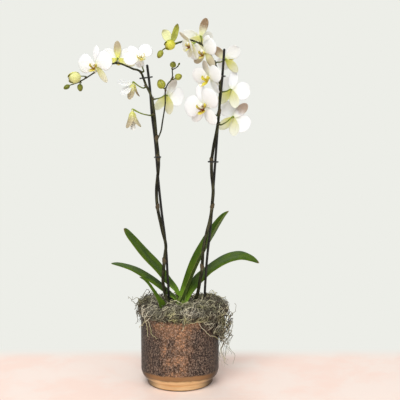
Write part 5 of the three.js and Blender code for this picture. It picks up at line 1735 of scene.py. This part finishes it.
# Long single strands that have strayed out of the tangle: over the pot's wall, and out past its sides.
STRAYS = [
    [(-58, -34, 126), (-55, -48, 121), (-52, -50, 112), (-51, -48, 100), (-51.5, -46, 92)],
    [(-50, -50, 127), (-56, -44, 118), (-60, -36, 110), (-65, -28, 104), (-68, -20, 100)],
    [(-52, -48, 120), (-46, -53, 110), (-42, -56, 100), (-36, -60, 94)],
    [(28, -62, 124), (38, -60, 110), (46, -55, 98), (56, -46, 90), (66, -34, 82), (72, -22, 78)],
    [(44, -56, 122), (49, -54, 112), (52, -52, 106), (56, -48, 108), (60, -44, 116)],
    [(-56, -6, 140), (-68, -8, 146), (-76, -10, 150), (-82, -12, 148), (-87, -12, 153), (-89, -12, 149)],
    [(-60, -10, 136), (-70, -14, 136), (-77, -16, 142), (-84, -16, 147), (-80, -14, 152)],
    [(-62, -16, 128), (-70, -20, 128), (-75, -22, 120), (-72, -24, 113), (-76, -22, 108)],
    [(74, -14, 132), (86, -16, 128), (92, -14, 122), (96, -12, 126), (98, -10, 134), (95, -8, 139)],
    [(58, -6, 150), (62, -10, 158), (58, -12, 164), (52, -12, 162)],
    [(-48, -30, 132), (-36, -52, 128), (-22, -64, 126), (-8, -68, 124), (6, -69, 126), (20, -66, 128)],
    [(10, -68, 124), (24, -66, 118), (38, -60, 120), (50, -52, 116), (60, -42, 118)],
    [(-20, -20, 144), (-8, -26, 150), (2, -30, 146), (8, -34, 138), (16, -38, 142)],
]
draw = np.random.default_rng(7)
stray_lines = []
for route in STRAYS:
    points, marks = path_line(route, [0.55, 0.5, 0.32], 60)
    wander = np.cumsum(draw.normal(0, 0.00042, points.shape), axis=0)
    wander -= np.linspace(0, 1, len(points))[:, None] * wander[-1]
    outlying = abs(route[-1][0]) > 72
    tone = np.full(len(points), draw.uniform(0.25, 0.5) if outlying else draw.uniform(0.7, 1.0))
    stray_lines.append((points + wander, {**marks, "tone": tone, "layer": np.ones(len(points))}))
place_piece(sweep(stray_lines, dry_moss, sides=5), "moss_strays", [dry_moss])

# ---------------------------------------------------------------- floor, light and camera
# A plain pale pink table that runs out into a pale grey distance, with large soft lights: the key high in
# front, a little to the left, a weak fill on the right and a rim light behind for the petals.

FLOOR_SIZE = 60.0
FLOOR_LEVEL = -0.0004  # just under the pot's foot
TABLE_END = (0.11, 0.19)  # where the pink runs out, behind the pot
TABLE_REACH = (0.8, 1.3)  # and how far from the pot it runs out on the other sides
DISTANCE_GREY = srgb(237, 238, 232)
CAMERA_PLACE = (0.0348, -1.353, 0.479)
CAMERA_PITCH = 6.81
CAMERA_LENS = 72

floor_mesh = bpy.data.meshes.new("table")
half = FLOOR_SIZE / 2
corners = [(x, y, FLOOR_LEVEL) for x, y in ((-half, -half), (half, -half), (half, half), (-half, half))]
floor_mesh.from_pydata(corners, [], [(0, 1, 2, 3)])
floor = bpy.data.objects.new("table", floor_mesh)
bpy.context.scene.collection.objects.link(floor)

table_top, tree, shader = new_material(
    "pale_table", Roughness=0.9, Specular_IOR_Level=0.0, Emission_Strength=1.0,
)
x_y_z = object_axes(tree)
tint = use_effect(patches, Place=object_place(tree), Patch_Scale=9.0, Speckle_Scale=240.0)
pink = mix_colour(tint["Patches"], srgb(244, 219, 206), srgb(243, 226, 215))
from_pot = wire(
    tree, "ShaderNodeVectorMath", {0: wire(tree, "ShaderNodeTexCoord").outputs["Object"]},
    operation="LENGTH",
).outputs["Value"]
far = math_node("MAXIMUM", spread(x_y_z[1], *TABLE_END), spread(from_pot, *TABLE_REACH))
feed(
    shader, Base_Color=mix_colour(far, pink, srgb(0, 0, 0)),
    Emission_Color=mix_colour(far, srgb(0, 0, 0), DISTANCE_GREY),
)
floor_mesh.materials.append(table_top)

world = bpy.data.worlds.new("studio")
world.use_nodes = True
bpy.context.scene.world = world
air = world.node_tree
air.nodes.clear()
seen = wire(air, "ShaderNodeBackground", {"Color": DISTANCE_GREY, "Strength": 1.0})
lit = wire(air, "ShaderNodeBackground", {"Color": (0.955, 0.98, 1.0, 1), "Strength": 0.5})
by_camera = wire(air, "ShaderNodeLightPath").outputs["Is Camera Ray"]
both = wire(air, "ShaderNodeMixShader", {0: by_camera, 1: lit.outputs[0], 2: seen.outputs[0]})
wire(air, "ShaderNodeOutputWorld", {"Surface": both.outputs[0]})

SOFT_LIGHTS = {
    "key": {"from": (-0.5, -1.9, 2.2), "size": 2.2, "power": 58.0},
    "fill": {"from": (1.5, -1.5, 1.3), "size": 1.4, "power": 7.0},
    "rim": {"from": (-0.3, 1.7, 1.6), "size": 1.2, "power": 12.0},
}
for name, light in SOFT_LIGHTS.items():
    lamp = bpy.data.lights.new(name, "AREA")
    lamp.shape = "DISK"
    lamp.size = light["size"]
    lamp.energy = light["power"]
    holder = bpy.data.objects.new(name, lamp)
    holder.location = light["from"]
    holder.rotation_euler = (Vector((0, 0, 0.3)) - holder.location).to_track_quat("-Z", "Y").to_euler()
    bpy.context.scene.collection.objects.link(holder)

camera = bpy.data.objects.new("camera", bpy.data.cameras.new("camera"))
camera.data.lens = CAMERA_LENS
camera.data.sensor_width = 36
camera.data.clip_start = 0.02
camera.location = CAMERA_PLACE
camera.rotation_euler = (math.radians(90 - CAMERA_PITCH), 0, 0)
bpy.context.scene.collection.objects.link(camera)
bpy.context.scene.camera = camera
bpy.context.scene.view_settings.view_transform = "Standard"
